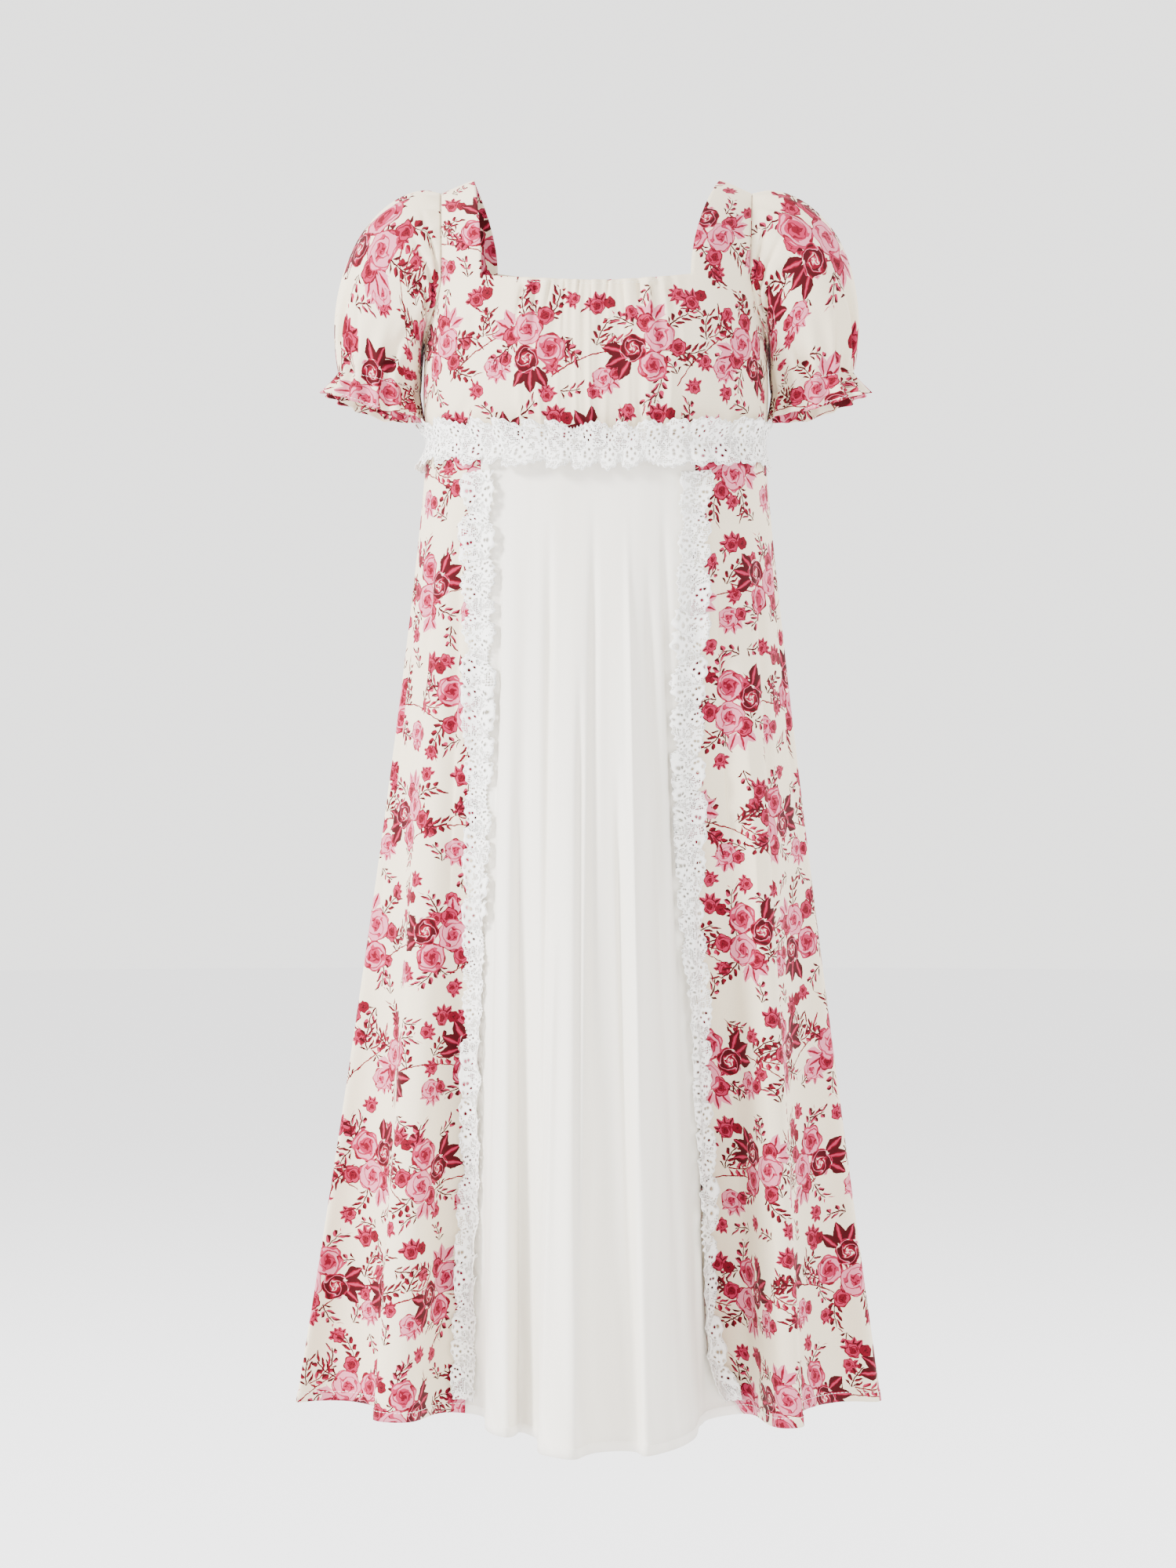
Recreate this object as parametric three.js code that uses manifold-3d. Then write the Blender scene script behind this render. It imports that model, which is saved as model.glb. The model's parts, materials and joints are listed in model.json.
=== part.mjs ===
// Girl's empire-line dress with puffed sleeves, a plain front panel and lace trim.
// Millimetres, +Z up, front towards -Y. The origin lies midway between the shoulder seams.
// Every piece of cloth is a thin closed wall. Its outer face comes from a surface function,
// and its inner face is that surface moved in by the cloth's thickness.
import * as THREE from 'three';
import { mergeVertices } from 'three/addons/utils/BufferGeometryUtils.js';
import Module from 'manifold-3d';

const wasm = await Module();
wasm.setup();

// Cloth and seams
const CLOTH = 1.6; // wall of the printed and plain cloth
const TRIM = 1.1; // wall of the lace
const SEAM = 0.3; // gap between two pieces along a seam
const REST = 0.5; // gap between a trim and the cloth that carries it

// Heights
const WAIST_SIDE = -198; // waist seam at the side seams
const WAIST_DIP = 9; // how much lower it runs at the centre front
const HEM_SIDE = -931; // hem at the side seams
const HEM_DIP = 10; // how much lower it hangs at the centre front
const HEM_BACK_DIP = 4;

// Body of the dress above the waist: how far the cloth stands from the axis at each height
const SQUARENESS = 2.35; // 2 is an ellipse, more is squarer
const BODY_ROWS = [
  { z: -210, side: 127, front: 88, back: 84 },
  { z: -172, side: 131.5, front: 97, back: 88 },
  { z: -130, side: 131, front: 96, back: 88 },
  { z: -80, side: 129, front: 86, back: 84 },
  { z: -40, side: 126, front: 76, back: 78 },
];

// Neckline, straps and armholes. Angles are seen from above, 0 at the centre front.
const NECK_FRONT = { z: -84, sag: 6 }; // lowest point, and how much the corners stand above it
const NECK_BACK = { z: -62, sag: 4 };
const STRAPS = [
  { side: -1, cornerAngle: 51, armAngle: 69, topIn: 93, topOut: 118 },
  { side: 1, cornerAngle: 43, armAngle: 69, topIn: 96, topOut: 119 },
];
const BACK_CORNER_ANGLE = 132;
const BACK_ARM_ANGLE = 111;
const SHOULDER = { y: 3, zIn: 4, zOut: -6 }; // shoulder seam, from the neck edge to the armhole
const UNDERARM_Z = -120;

// Gathers of the front bodice
const GATHERS = 11;
const GATHER_DEPTH = 3.4;
const GATHER_ANGLE = 42; // they run from this angle on one side to the same on the other

// Skirt: base cone at the hem, and the folds
const HEM_BASE = { side: 195, front: 125, back: 120 };
const FOLDS_FROM = 0.05; // share of the skirt's height where the folds begin
const FOLD_GROWTH = 1.5;
const FOLD_ROUNDNESS = 2.5; // 1 gives pointed folds, 3 gives round ones with upright sides
// Each row is the crest or valley of a fold: its angle at the waist, and its place at the hem
const FOLDS = [
  { line: 'left side crest', waist: -90, x: -229, y: 5 },
  { line: 'valley', waist: -76, x: -176, y: -4 },
  { line: 'left front crest', waist: -63, x: -154, y: -78 },
  { line: 'valley at the left lace', waist: -49, x: -99, y: -24 },
  { line: 'panel crest, left', waist: -37, x: -72, y: -110 },
  { line: 'valley', waist: -29, x: -52, y: -92 },
  { line: 'panel crest, middle', waist: -12, x: -29, y: -180 },
  { line: 'valley', waist: 3, x: 12, y: -152 },
  { line: 'panel crest, right', waist: 18, x: 49, y: -162 },
  { line: 'valley at the right lace', waist: 44, x: 102, y: -26 },
  { line: 'right front crest', waist: 62, x: 145, y: -102 },
  { line: 'valley', waist: 76, x: 165, y: -18 },
  { line: 'right side crest', waist: 90, x: 219, y: 10 },
  { line: 'valley', waist: 103, x: 172, y: 42 },
  { line: 'back crest', waist: 116, x: 183, y: 102 },
  { line: 'valley', waist: 129, x: 128, y: 84 },
  { line: 'back crest', waist: 142, x: 116, y: 158 },
  { line: 'valley', waist: 154, x: 72, y: 116 },
  { line: 'back crest', waist: 166, x: 44, y: 172 },
  { line: 'valley', waist: 178, x: 4, y: 128 },
  { line: 'back crest', waist: 190, x: -36, y: 176 },
  { line: 'valley', waist: 202, x: -66, y: 120 },
  { line: 'back crest', waist: 215, x: -104, y: 164 },
  { line: 'valley', waist: 228, x: -124, y: 88 },
  { line: 'back crest', waist: 242, x: -176, y: 116 },
  { line: 'valley', waist: 256, x: -168, y: 48 },
];

// Seams beside the front panel, as angles at the waist. down is 0 at the waist and 1 at the hem.
const PANEL_SEAMS = [
  { down: 0, left: -49.5, right: 43.5 },
  { down: 0.35, left: -46.5, right: 36 },
  { down: 0.7, left: -47.5, right: 38 },
  { down: 0.93, left: -49, right: 40 },
  { down: 1, left: -49, right: 46 },
];

// Sleeves: a puff between the armhole and an elastic cuff, with a ruffled edge below it
const SLEEVES = [
  { name: 'sleeve_left', side: -1, fullness: 0 },
  { name: 'sleeve_right', side: 1, fullness: 5 },
];
const CUFF = { x: 165, y: 2, halfWidth: 30.5, halfDepth: 38, z: -151.5, tilt: 8.5 };
// How far the puff leans out of the armhole, and how far it swells above the elastic
const PUFF = { headOut: 42, headUp: 9, underOut: 3, underDown: 8, headFront: 10 };
const SWELL = { out: 17, up: 91, upInner: 12 };
const RUFFLE = { length: 24, lift: 9, innerLift: 4, flare: 13, innerFlare: 3 };
const CUFF_WAVES = 16;
const CUFF_WAVE = 2.1; // half height of the gathers at the elastic
const EDGE_WAVE = 3.4; // half height of the ruffle's waves at its edge
const HEAD_WAVES = 16;
const HEAD_WAVE = 1.7;
// Shares of the puff's height where the gathers begin and end. The rest of it is smooth.
const CUFF_GATHERS_FROM = 0.62;
const HEAD_GATHERS = { from: 0.1, to: 0.5, fade: 0.38 };
const HELD_WAVE = 0.2; // how much of a gather is left where the sleeve lies against the body

// Lace
const WAIST_LACE = { up: 15, down: 17, waves: 36, stand: 3.6 };
const PANEL_LACE = { halfWidth: 9.5, waves: 32, stand: 2.6, start: 0.03, end: 0.985 };

// Centre-back zip: a tape behind the seam, a slider on it and a pull tab hinged to the slider
const TAPE = { halfWidth: 11, top: -68, bottom: -300 };
const SLIDER = { z: -78, width: 6.6, height: 9, plate: 1.5, cheek: 1.3, cheekReach: 2.1, pin: 1.0 };
const PULL = { length: 21, width: 4.8, thickness: 1.4, neckWidth: 3.2, knuckle: 2.3, play: 0.35 };
const ROUND_SIDES = 16;

const rad = THREE.MathUtils.degToRad;
const lerp = THREE.MathUtils.lerp;
const clamp01 = (value) => Math.min(1, Math.max(0, value));
const smooth = (value) => clamp01(value) ** 2 * (3 - 2 * clamp01(value));
const steps = (from, to, count) => Array.from({ length: count + 1 }, (_, i) => lerp(from, to, i / count));

// Value of one column of a table between its rows, as a smooth curve. key is the sorted column.
function fromRows(rows, key, at, column) {
  const last = rows.length - 1;
  let i = 0;
  while (i < last - 1 && at > rows[i + 1][key]) i += 1;
  const slope = (k) => {
    const a = rows[Math.max(0, k - 1)];
    const b = rows[Math.min(last, k + 1)];
    return (b[column] - a[column]) / (b[key] - a[key]);
  };
  const span = rows[i + 1][key] - rows[i][key];
  const s = clamp01((at - rows[i][key]) / span);
  return hermite(rows[i][column], rows[i + 1][column], slope(i) * span, slope(i + 1) * span, s);
}

function hermite(a, b, slopeA, slopeB, s) {
  const s2 = s * s;
  const s3 = s2 * s;
  return a * (2 * s3 - 3 * s2 + 1) + b * (3 * s2 - 2 * s3) + slopeA * (s3 - 2 * s2 + s) + slopeB * (s3 - s2);
}

// Distance from the axis to a squared ellipse, at an angle from the centre front
function reach(angle, side, front, back, power) {
  const a = rad(angle);
  const depth = Math.cos(a) > 0 ? front : back;
  const sum = (Math.abs(Math.sin(a)) / side) ** power + (Math.abs(Math.cos(a)) / depth) ** power;
  return sum ** (-1 / power);
}

const atAngle = (angle, r, z) => new THREE.Vector3(r * Math.sin(rad(angle)), -r * Math.cos(rad(angle)), z);
const frontness = (angle) => Math.max(0, Math.cos(rad(angle))) ** 2;
const waistZ = (angle) => WAIST_SIDE - WAIST_DIP * frontness(angle);

// Bodice

// Ridges of the gathers, strongest along the neckline and the waist seam
function gather(angle, z) {
  const across = angle / GATHER_ANGLE;
  if (Math.abs(across) >= 1) return 0;
  const edge = smooth((1 - Math.abs(across)) * 3);
  const height = clamp01((z - waistZ(0)) / (NECK_FRONT.z - waistZ(0)));
  const hold = 0.55 + 0.45 * (2 * height - 1) ** 2;
  return GATHER_DEPTH * edge * hold * (0.5 - 0.5 * Math.cos(Math.PI * GATHERS * (across + 1)));
}

function bodyPoint(angle, z) {
  const row = (column) => fromRows(BODY_ROWS, 'z', z, column);
  const r = reach(angle, row('side'), row('front'), row('back'), SQUARENESS);
  return atAngle(angle, r + gather(angle, z), z);
}

// Height of the armhole edge beside the straps, down to the underarm and up again
function armholeZ(angle, armAngle, baseZ) {
  const across = clamp01((90 - Math.abs(angle)) / (90 - armAngle));
  return baseZ - (baseZ - UNDERARM_Z) * Math.sqrt(1 - across ** 2);
}

const neckZ = (angle, corner, neck) => neck.z + neck.sag * (angle / corner) ** 2;
const frontBaseZ = NECK_FRONT.z + NECK_FRONT.sag;
const backBaseZ = NECK_BACK.z + NECK_BACK.sag;

// A strap rises from the bodice's top edge and bends over to the shoulder seam.
// across runs from the neck edge to the armhole edge, up from the base to the seam.
function strapPoint(strap, isBack, across, up) {
  const corner = isBack ? BACK_CORNER_ANGLE : strap.cornerAngle;
  const arm = isBack ? BACK_ARM_ANGLE : strap.armAngle;
  const baseZ = isBack ? backBaseZ : frontBaseZ;
  const base = bodyPoint(strap.side * lerp(corner, arm, across), baseZ);
  const topX = strap.side * lerp(strap.topIn, strap.topOut, across);
  const topZ = lerp(SHOULDER.zIn, SHOULDER.zOut, across);
  const seamY = SHOULDER.y + (isBack ? SEAM / 2 : -SEAM / 2);
  const bend = rad(90 * up);
  return new THREE.Vector3(
    lerp(base.x, topX, smooth(up)),
    seamY + (base.y - seamY) * Math.cos(bend),
    baseZ + (topZ - baseZ) * Math.sin(bend),
  );
}

// Skirt

const foldRows = [...FOLDS, { ...FOLDS[0], waist: FOLDS[0].waist + 360 }];

// Place of the hem seen from above, as a smooth closed line through the crests and valleys
function hemLine(angle) {
  const start = FOLDS[0].waist;
  const turned = ((angle - start) % 360 + 360) % 360 + start;
  const count = FOLDS.length;
  let i = 0;
  while (i < count - 1 && turned > foldRows[i + 1].waist) i += 1;
  const row = (k) => {
    const lap = Math.floor(k / count);
    const fold = FOLDS[k - lap * count];
    return { waist: fold.waist + 360 * lap, x: fold.x, y: fold.y };
  };
  const span = row(i + 1).waist - row(i).waist;
  const s = (turned - row(i).waist) / span;
  const slope = (k, column) => {
    const rise = row(k + 1)[column] - row(k - 1)[column];
    return (FOLD_ROUNDNESS * rise * span) / (row(k + 1).waist - row(k - 1).waist);
  };
  const at = (column) => hermite(
    row(i)[column], row(i + 1)[column], slope(i, column), slope(i + 1, column), s,
  );
  return { x: at('x'), y: at('y') };
}

const hemZ = (angle) => HEM_SIDE - HEM_DIP * frontness(angle) - HEM_BACK_DIP * frontness(angle + 180);

// down runs from 0 at the waist seam to 1 at the hem
function skirtPoint(angle, down) {
  const top = bodyPoint(angle, waistZ(angle));
  top.addScaledVector(atAngle(angle, 1, 0), -gather(angle, waistZ(angle)));
  const base = atAngle(angle, reach(angle, HEM_BASE.side, HEM_BASE.front, HEM_BASE.back, 2), 0);
  const hem = hemLine(angle);
  const grown = clamp01((down - FOLDS_FROM) / (1 - FOLDS_FROM)) ** FOLD_GROWTH;
  return new THREE.Vector3(
    lerp(top.x, base.x, down) + (hem.x - base.x) * grown,
    lerp(top.y, base.y, down) + (hem.y - base.y) * grown,
    lerp(waistZ(angle) - SEAM, hemZ(angle), down),
  );
}

// Angle that lies a distance along the skirt's section from a given angle
function skirtAngleBeside(angle, down, distance) {
  const step = 0.25 * Math.sign(distance);
  let here = skirtPoint(angle, down);
  let walked = 0;
  let at = angle;
  for (;;) {
    const next = skirtPoint(at + step, down);
    const length = next.distanceTo(here);
    if (walked + length >= Math.abs(distance)) return at + step * (Math.abs(distance) - walked) / length;
    walked += length;
    at += step;
    here = next;
  }
}

const leftSeam = (down) => fromRows(PANEL_SEAMS, 'down', down, 'left');
const rightSeam = (down) => fromRows(PANEL_SEAMS, 'down', down, 'right');

// Walls

// Outward normal of a surface, from its two directions
function surfaceNormal(surface, u, v) {
  const d = 1e-3;
  const along = surface(u + d, v).sub(surface(u - d, v));
  const up = surface(u, v + d).sub(surface(u, v - d));
  return along.cross(up).normalize();
}

// Grid of points and normals over a surface. lines gives the u values of each row.
function grid(surface, lines, rows) {
  const points = [];
  const normals = [];
  const quads = [];
  rows.forEach((v, j) => {
    lines(v).forEach((u) => {
      points.push(surface(u, v));
      normals.push(surfaceNormal(surface, u, v));
    });
    const width = points.length / (j + 1);
    for (let i = 0; j > 0 && i < width - 1; i += 1) {
      const a = (j - 1) * width + i;
      quads.push([a, a + 1, a + width + 1, a + width]);
    }
  });
  return { points, normals, quads };
}

// Closed wall on a patch: its own face, the same face moved in, and a rim along every free edge
function wallOn({ points, normals, quads }, thickness) {
  const outer = points.map((p) => p.clone());
  const inner = points.map((p, i) => p.clone().addScaledVector(normals[i], -thickness));
  const offset = points.length;
  const triangles = [];
  const edges = new Map();
  quads.forEach(([a, b, c, d]) => {
    const corners = a === d ? [a, b, c] : [a, b, c, d];
    for (let k = 1; k < corners.length - 1; k += 1) {
      triangles.push([corners[0], corners[k], corners[k + 1]]);
      triangles.push([offset + corners[0], offset + corners[k + 1], offset + corners[k]]);
    }
    corners.forEach((from, k) => {
      const to = corners[(k + 1) % corners.length];
      if (!edges.delete(`${to},${from}`)) edges.set(`${from},${to}`, [from, to]);
    });
  });
  // The rim's quads are split the same way on both sides of a seam, so that they stay parallel
  edges.forEach(([from, to]) => {
    if (outer[from].z < outer[to].z) {
      triangles.push([from, offset + from, to], [to, offset + from, offset + to]);
    } else {
      triangles.push([from, offset + from, offset + to], [from, offset + to, to]);
    }
  });
  const geometry = new THREE.BufferGeometry();
  const all = [...outer, ...inner];
  geometry.setAttribute('position', new THREE.Float32BufferAttribute(all.flatMap((p) => p.toArray()), 3));
  geometry.setIndex(triangles.flat());
  geometry.computeVertexNormals();
  return geometry;
}

// Joins patches, with points that lie on each other made one
function joinPatches(patches) {
  const joined = { points: [], normals: [], quads: [] };
  const known = new Map();
  patches.forEach((patch) => {
    const places = patch.points.map((p, i) => {
      const key = p.toArray().map((value) => Math.round(value * 1000)).join();
      if (!known.has(key)) {
        known.set(key, joined.points.length);
        joined.points.push(p);
        joined.normals.push(patch.normals[i]);
      }
      return known.get(key);
    });
    patch.quads.forEach((quad) => joined.quads.push(quad.map((corner) => places[corner])));
  });
  return joined;
}

// Materials
const cloth = (color) => new THREE.MeshStandardMaterial({ color, roughness: 0.85, metalness: 0 });
const printed = cloth(0xe6cdc6);
const plain = cloth(0xf3f0ea);
const lace = cloth(0xf8f8f6);
const metal = new THREE.MeshStandardMaterial({ color: 0xd9d2c4, roughness: 0.35, metalness: 0.9 });

const dress = new THREE.Group();
function add(name, geometry, material) {
  const mesh = new THREE.Mesh(geometry, material);
  mesh.name = name;
  dress.add(mesh);
  return mesh;
}

// Bodice pieces

// Part of the bodice between two angles, from the waist seam up to its top edge
function bodicePatch(angles, topZ, rows) {
  const bottom = (angle) => waistZ(angle) + SEAM;
  const surface = (angle, v) => bodyPoint(angle, lerp(bottom(angle), topZ(angle), v));
  const patch = grid(surface, () => angles, steps(0, 1, rows));
  patch.normals = patch.points.map((p) => {
    const angle = THREE.MathUtils.radToDeg(Math.atan2(p.x, -p.y));
    return surfaceNormal((u, v) => bodyPoint(u, v), angle, p.z);
  });
  return patch;
}

function strapPatch(strap, isBack, columns, rows) {
  const surface = (across, up) => strapPoint(strap, isBack, across, up);
  const turned = (strap.side > 0) !== isBack;
  const lines = turned ? steps(0, 1, columns) : steps(1, 0, columns);
  const patch = grid(surface, () => lines, steps(0, 1, rows));
  if (!turned) patch.normals.forEach((normal) => normal.negate());
  return patch;
}

const BODICE_STRIPS = 7;
const GATHER_SAMPLES = 4;
const STRAP_COLUMNS = 3;
const STRAP_STRIPS = 5;
const SIDE_COLUMNS = 4;
const seamAngle = THREE.MathUtils.radToDeg(SEAM / 2 / BODY_ROWS[0].side);

function bodiceFront() {
  const [left, right] = STRAPS;
  const corner = (angle) => (angle < 0 ? left.cornerAngle : right.cornerAngle);
  const top = (angle) => {
    const strap = angle < 0 ? left : right;
    const size = Math.abs(angle);
    if (size <= strap.cornerAngle) return neckZ(angle, corner(angle), NECK_FRONT);
    if (size <= strap.armAngle) return frontBaseZ;
    return armholeZ(angle, strap.armAngle, frontBaseZ);
  };
  const sideEnd = 90 - seamAngle;
  const angles = [
    ...steps(-sideEnd, -left.armAngle, SIDE_COLUMNS).slice(0, -1),
    ...steps(-left.armAngle, -left.cornerAngle, STRAP_COLUMNS).slice(0, -1),
    -left.cornerAngle,
    ...steps(-GATHER_ANGLE, GATHER_ANGLE, GATHERS * GATHER_SAMPLES),
    right.cornerAngle,
    ...steps(right.cornerAngle, right.armAngle, STRAP_COLUMNS).slice(1),
    ...steps(right.armAngle, sideEnd, SIDE_COLUMNS).slice(1),
  ];
  return joinPatches([
    bodicePatch(angles, top, BODICE_STRIPS),
    strapPatch(left, false, STRAP_COLUMNS, STRAP_STRIPS),
    strapPatch(right, false, STRAP_COLUMNS, STRAP_STRIPS),
  ]);
}

function bodiceBack(strap) {
  const top = (angle) => {
    const size = Math.abs(angle);
    if (size >= BACK_CORNER_ANGLE) return neckZ(180 - size, 180 - BACK_CORNER_ANGLE, NECK_BACK);
    if (size >= BACK_ARM_ANGLE) return backBaseZ;
    return armholeZ(180 - size, 180 - BACK_ARM_ANGLE, backBaseZ);
  };
  const sizes = [
    ...steps(90 + seamAngle, BACK_ARM_ANGLE, SIDE_COLUMNS).slice(0, -1),
    ...steps(BACK_ARM_ANGLE, BACK_CORNER_ANGLE, STRAP_COLUMNS).slice(0, -1),
    ...steps(BACK_CORNER_ANGLE, 180 - seamAngle, SIDE_COLUMNS + 1),
  ];
  const angles = strap.side > 0 ? sizes : sizes.map((size) => -size).reverse();
  return joinPatches([
    bodicePatch(angles, top, BODICE_STRIPS),
    strapPatch(strap, true, STRAP_COLUMNS, STRAP_STRIPS),
  ]);
}

add('bodice_front', wallOn(bodiceFront(), CLOTH), printed);
add('bodice_back_left', wallOn(bodiceBack(STRAPS[0]), CLOTH), printed);
add('bodice_back_right', wallOn(bodiceBack(STRAPS[1]), CLOTH), printed);

// Skirt pieces

// Panel between two seams. The outermost columns are as wide as half the lace, which lies on them.
const SKIRT_ROWS = 9;
const COLUMNS = { panel: 26, front: 14, backRight: 20, backLeft: 24 }; // strips across each skirt piece
function skirtPanel(from, to, columns) {
  const lines = (down) => {
    const edges = [SEAM / 2, PANEL_LACE.halfWidth];
    const first = edges.map((distance) => skirtAngleBeside(from(down), down, distance));
    const last = edges.map((distance) => skirtAngleBeside(to(down), down, -distance));
    return [first[0], ...steps(first[1], last[1], columns), last[0]];
  };
  const patch = grid(skirtPoint, lines, steps(0, 1, SKIRT_ROWS));
  patch.quads.forEach((quad) => quad.reverse());
  patch.normals.forEach((normal) => normal.negate());
  return patch;
}

const frontPanel = skirtPanel(leftSeam, rightSeam, COLUMNS.panel);
const frontLeft = skirtPanel(() => -90, leftSeam, COLUMNS.front);
const frontRight = skirtPanel(rightSeam, () => 90, COLUMNS.front);
const backRight = skirtPanel(() => 90, () => 180, COLUMNS.backRight);
const backLeft = skirtPanel(() => 180, () => 270, COLUMNS.backLeft);
add('skirt_front_panel', wallOn(frontPanel, CLOTH), plain);
add('skirt_front_left', wallOn(frontLeft, CLOTH), printed);
add('skirt_front_right', wallOn(frontRight, CLOTH), printed);
add('skirt_back_right', wallOn(backRight, CLOTH), printed);
add('skirt_back_left', wallOn(backLeft, CLOTH), printed);

// Sleeves

// Armhole edge of the bodice, from the shoulder down the front to the underarm and up the back
function armholeLine(strap) {
  const fine = 60;
  const { side, armAngle } = strap;
  const front = [
    ...steps(1, 0, fine).map((up) => strapPoint(strap, false, 1, up)),
    ...steps(armAngle, 90, fine).map((a) => bodyPoint(side * a, armholeZ(a, armAngle, frontBaseZ))),
  ];
  const backArm = 180 - BACK_ARM_ANGLE;
  const back = [
    ...steps(90, BACK_ARM_ANGLE, fine).map((a) => bodyPoint(side * a, armholeZ(180 - a, backArm, backBaseZ))),
    ...steps(0, 1, fine).map((up) => strapPoint(strap, true, 1, up)),
  ];
  return { front, back };
}

// Point at a share of a line's length
function onLine(points, share) {
  const lengths = points.slice(1).map((p, i) => p.distanceTo(points[i]));
  let left = share * lengths.reduce((sum, length) => sum + length, 0);
  let i = 0;
  while (i < lengths.length - 1 && left > lengths[i]) {
    left -= lengths[i];
    i += 1;
  }
  return points[i].clone().lerp(points[i + 1], Math.min(1, left / Math.max(lengths[i], 1e-9)));
}

// turn runs once round the arm: 0 outside, 1/4 front, 1/2 at the body, 3/4 back.
// down runs from 0 at the armhole to 1 at the elastic and 2 at the ruffle's edge.
function sleeveSurface(sleeve, strap) {
  const armhole = armholeLine(strap);
  const side = sleeve.side;
  return (anyTurn, down) => {
    const turn = ((anyTurn % 1) + 1) % 1;
    const angle = turn * 2 * Math.PI;
    const outness = (1 + Math.cos(angle)) / 2;
    const forward = Math.sin(angle);
    const free = smooth(outness * 3);
    const seam = turn < 0.5 ? onLine(armhole.front, turn * 2) : onLine(armhole.back, turn * 2 - 1);
    seam.x += side * 2 * SEAM;
    const away = new THREE.Vector3(side * Math.cos(angle), -Math.sin(angle), 0);
    const ring = reach(turn * 360 + 90, CUFF.halfWidth, CUFF.halfDepth, CUFF.halfDepth, SQUARENESS);
    const cuff = new THREE.Vector3(side * CUFF.x, CUFF.y, CUFF.z + CUFF.tilt * Math.cos(angle));
    cuff.addScaledVector(away, ring);
    const leave = seam.clone().add(new THREE.Vector3(
      side * lerp(PUFF.underOut, PUFF.headOut + sleeve.fullness, outness),
      -PUFF.headFront * forward,
      lerp(-PUFF.underDown, PUFF.headUp, outness),
    ));
    const arrive = cuff.clone().addScaledVector(away, (SWELL.out + sleeve.fullness) * Math.sqrt(outness));
    arrive.z += lerp(SWELL.upInner, SWELL.up, outness ** 1.3);
    const puff = clamp01(down);
    const point = new THREE.Vector3();
    const weights = [(1 - puff) ** 3, 3 * puff * (1 - puff) ** 2, 3 * puff ** 2 * (1 - puff), puff ** 3];
    [seam, leave, arrive, cuff].forEach((p, i) => point.addScaledVector(p, weights[i]));
    const edge = Math.max(0, down - 1);
    const flare = lerp(RUFFLE.innerFlare, RUFFLE.flare, outness);
    point.addScaledVector(away, flare * edge ** 1.2);
    const lift = RUFFLE.lift * Math.max(0, Math.cos(angle)) + RUFFLE.innerLift * Math.max(0, -Math.cos(angle));
    point.z -= (RUFFLE.length - lift) * edge;
    const cuffGrip = smooth((puff - CUFF_GATHERS_FROM) / (1 - CUFF_GATHERS_FROM));
    const cuffWave = lerp(CUFF_WAVE * cuffGrip, EDGE_WAVE, edge) * Math.cos(2 * Math.PI * CUFF_WAVES * turn);
    point.addScaledVector(away, cuffWave * lerp(HELD_WAVE, 1, free));
    const headGrip = smooth(down / HEAD_GATHERS.from) * smooth((HEAD_GATHERS.to - down) / HEAD_GATHERS.fade);
    const headWave = HEAD_WAVE * headGrip * free * Math.cos(2 * Math.PI * HEAD_WAVES * turn);
    point.z += headWave * outness;
    point.addScaledVector(away, headWave * (1 - outness));
    return point;
  };
}

const SLEEVE_ROWS = [0, 0.1, 0.24, 0.4, 0.56, 0.72, 0.87, 1, 1.5, 2];
const SAMPLES_PER_WAVE = 3;
SLEEVES.forEach((sleeve, i) => {
  const surface = sleeveSurface(sleeve, STRAPS[i]);
  const round = steps(0, 1, CUFF_WAVES * SAMPLES_PER_WAVE);
  const patch = grid(surface, () => (sleeve.side < 0 ? round : [...round].reverse()), SLEEVE_ROWS);
  const inwards = sleeve.side < 0;
  if (inwards) patch.normals.forEach((normal) => normal.negate());
  patch.quads.forEach((quad) => quad.reverse());
  add(sleeve.name, wallOn(joinPatches([patch]), CLOTH), printed);
});

// Lace

// Waves of a gathered edge: 0 along the sewn middle, up to 1 at the edges
function edgeWave(turns, across) {
  const shift = across > 0 ? 0 : 0.37;
  return Math.abs(across) * (0.5 + 0.5 * Math.cos(2 * Math.PI * (turns + shift)));
}

// Outside of the dress beside the waist seam, with the gathers evened out
function waistOutside(angle, height) {
  const z = waistZ(angle) + height;
  const bare = bodyPoint(angle, Math.max(z, waistZ(angle)));
  const covered = GATHER_DEPTH * smooth((1 - Math.abs(angle) / GATHER_ANGLE) * 3 + 0.5) - gather(angle, bare.z);
  const spread = height < 0 ? -height * (HEM_BASE.side - BODY_ROWS[0].side) / (HEM_SIDE - WAIST_SIDE) : 0;
  bare.add(atAngle(angle, covered - spread, 0));
  bare.z = z;
  return bare;
}

function waistLace(turn, across) {
  const angle = turn * 360 - 180;
  const height = across * (across > 0 ? WAIST_LACE.up : WAIST_LACE.down);
  const stand = REST + TRIM + WAIST_LACE.stand * edgeWave(turn * WAIST_LACE.waves, across);
  return waistOutside(angle, height).add(atAngle(angle, stand, 0));
}

const laceTurns = steps(0, 1, WAIST_LACE.waves * SAMPLES_PER_WAVE);
add('lace_waist', wallOn(joinPatches([grid(waistLace, () => laceTurns, [-1, 0, 1])]), TRIM), lace);

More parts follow.
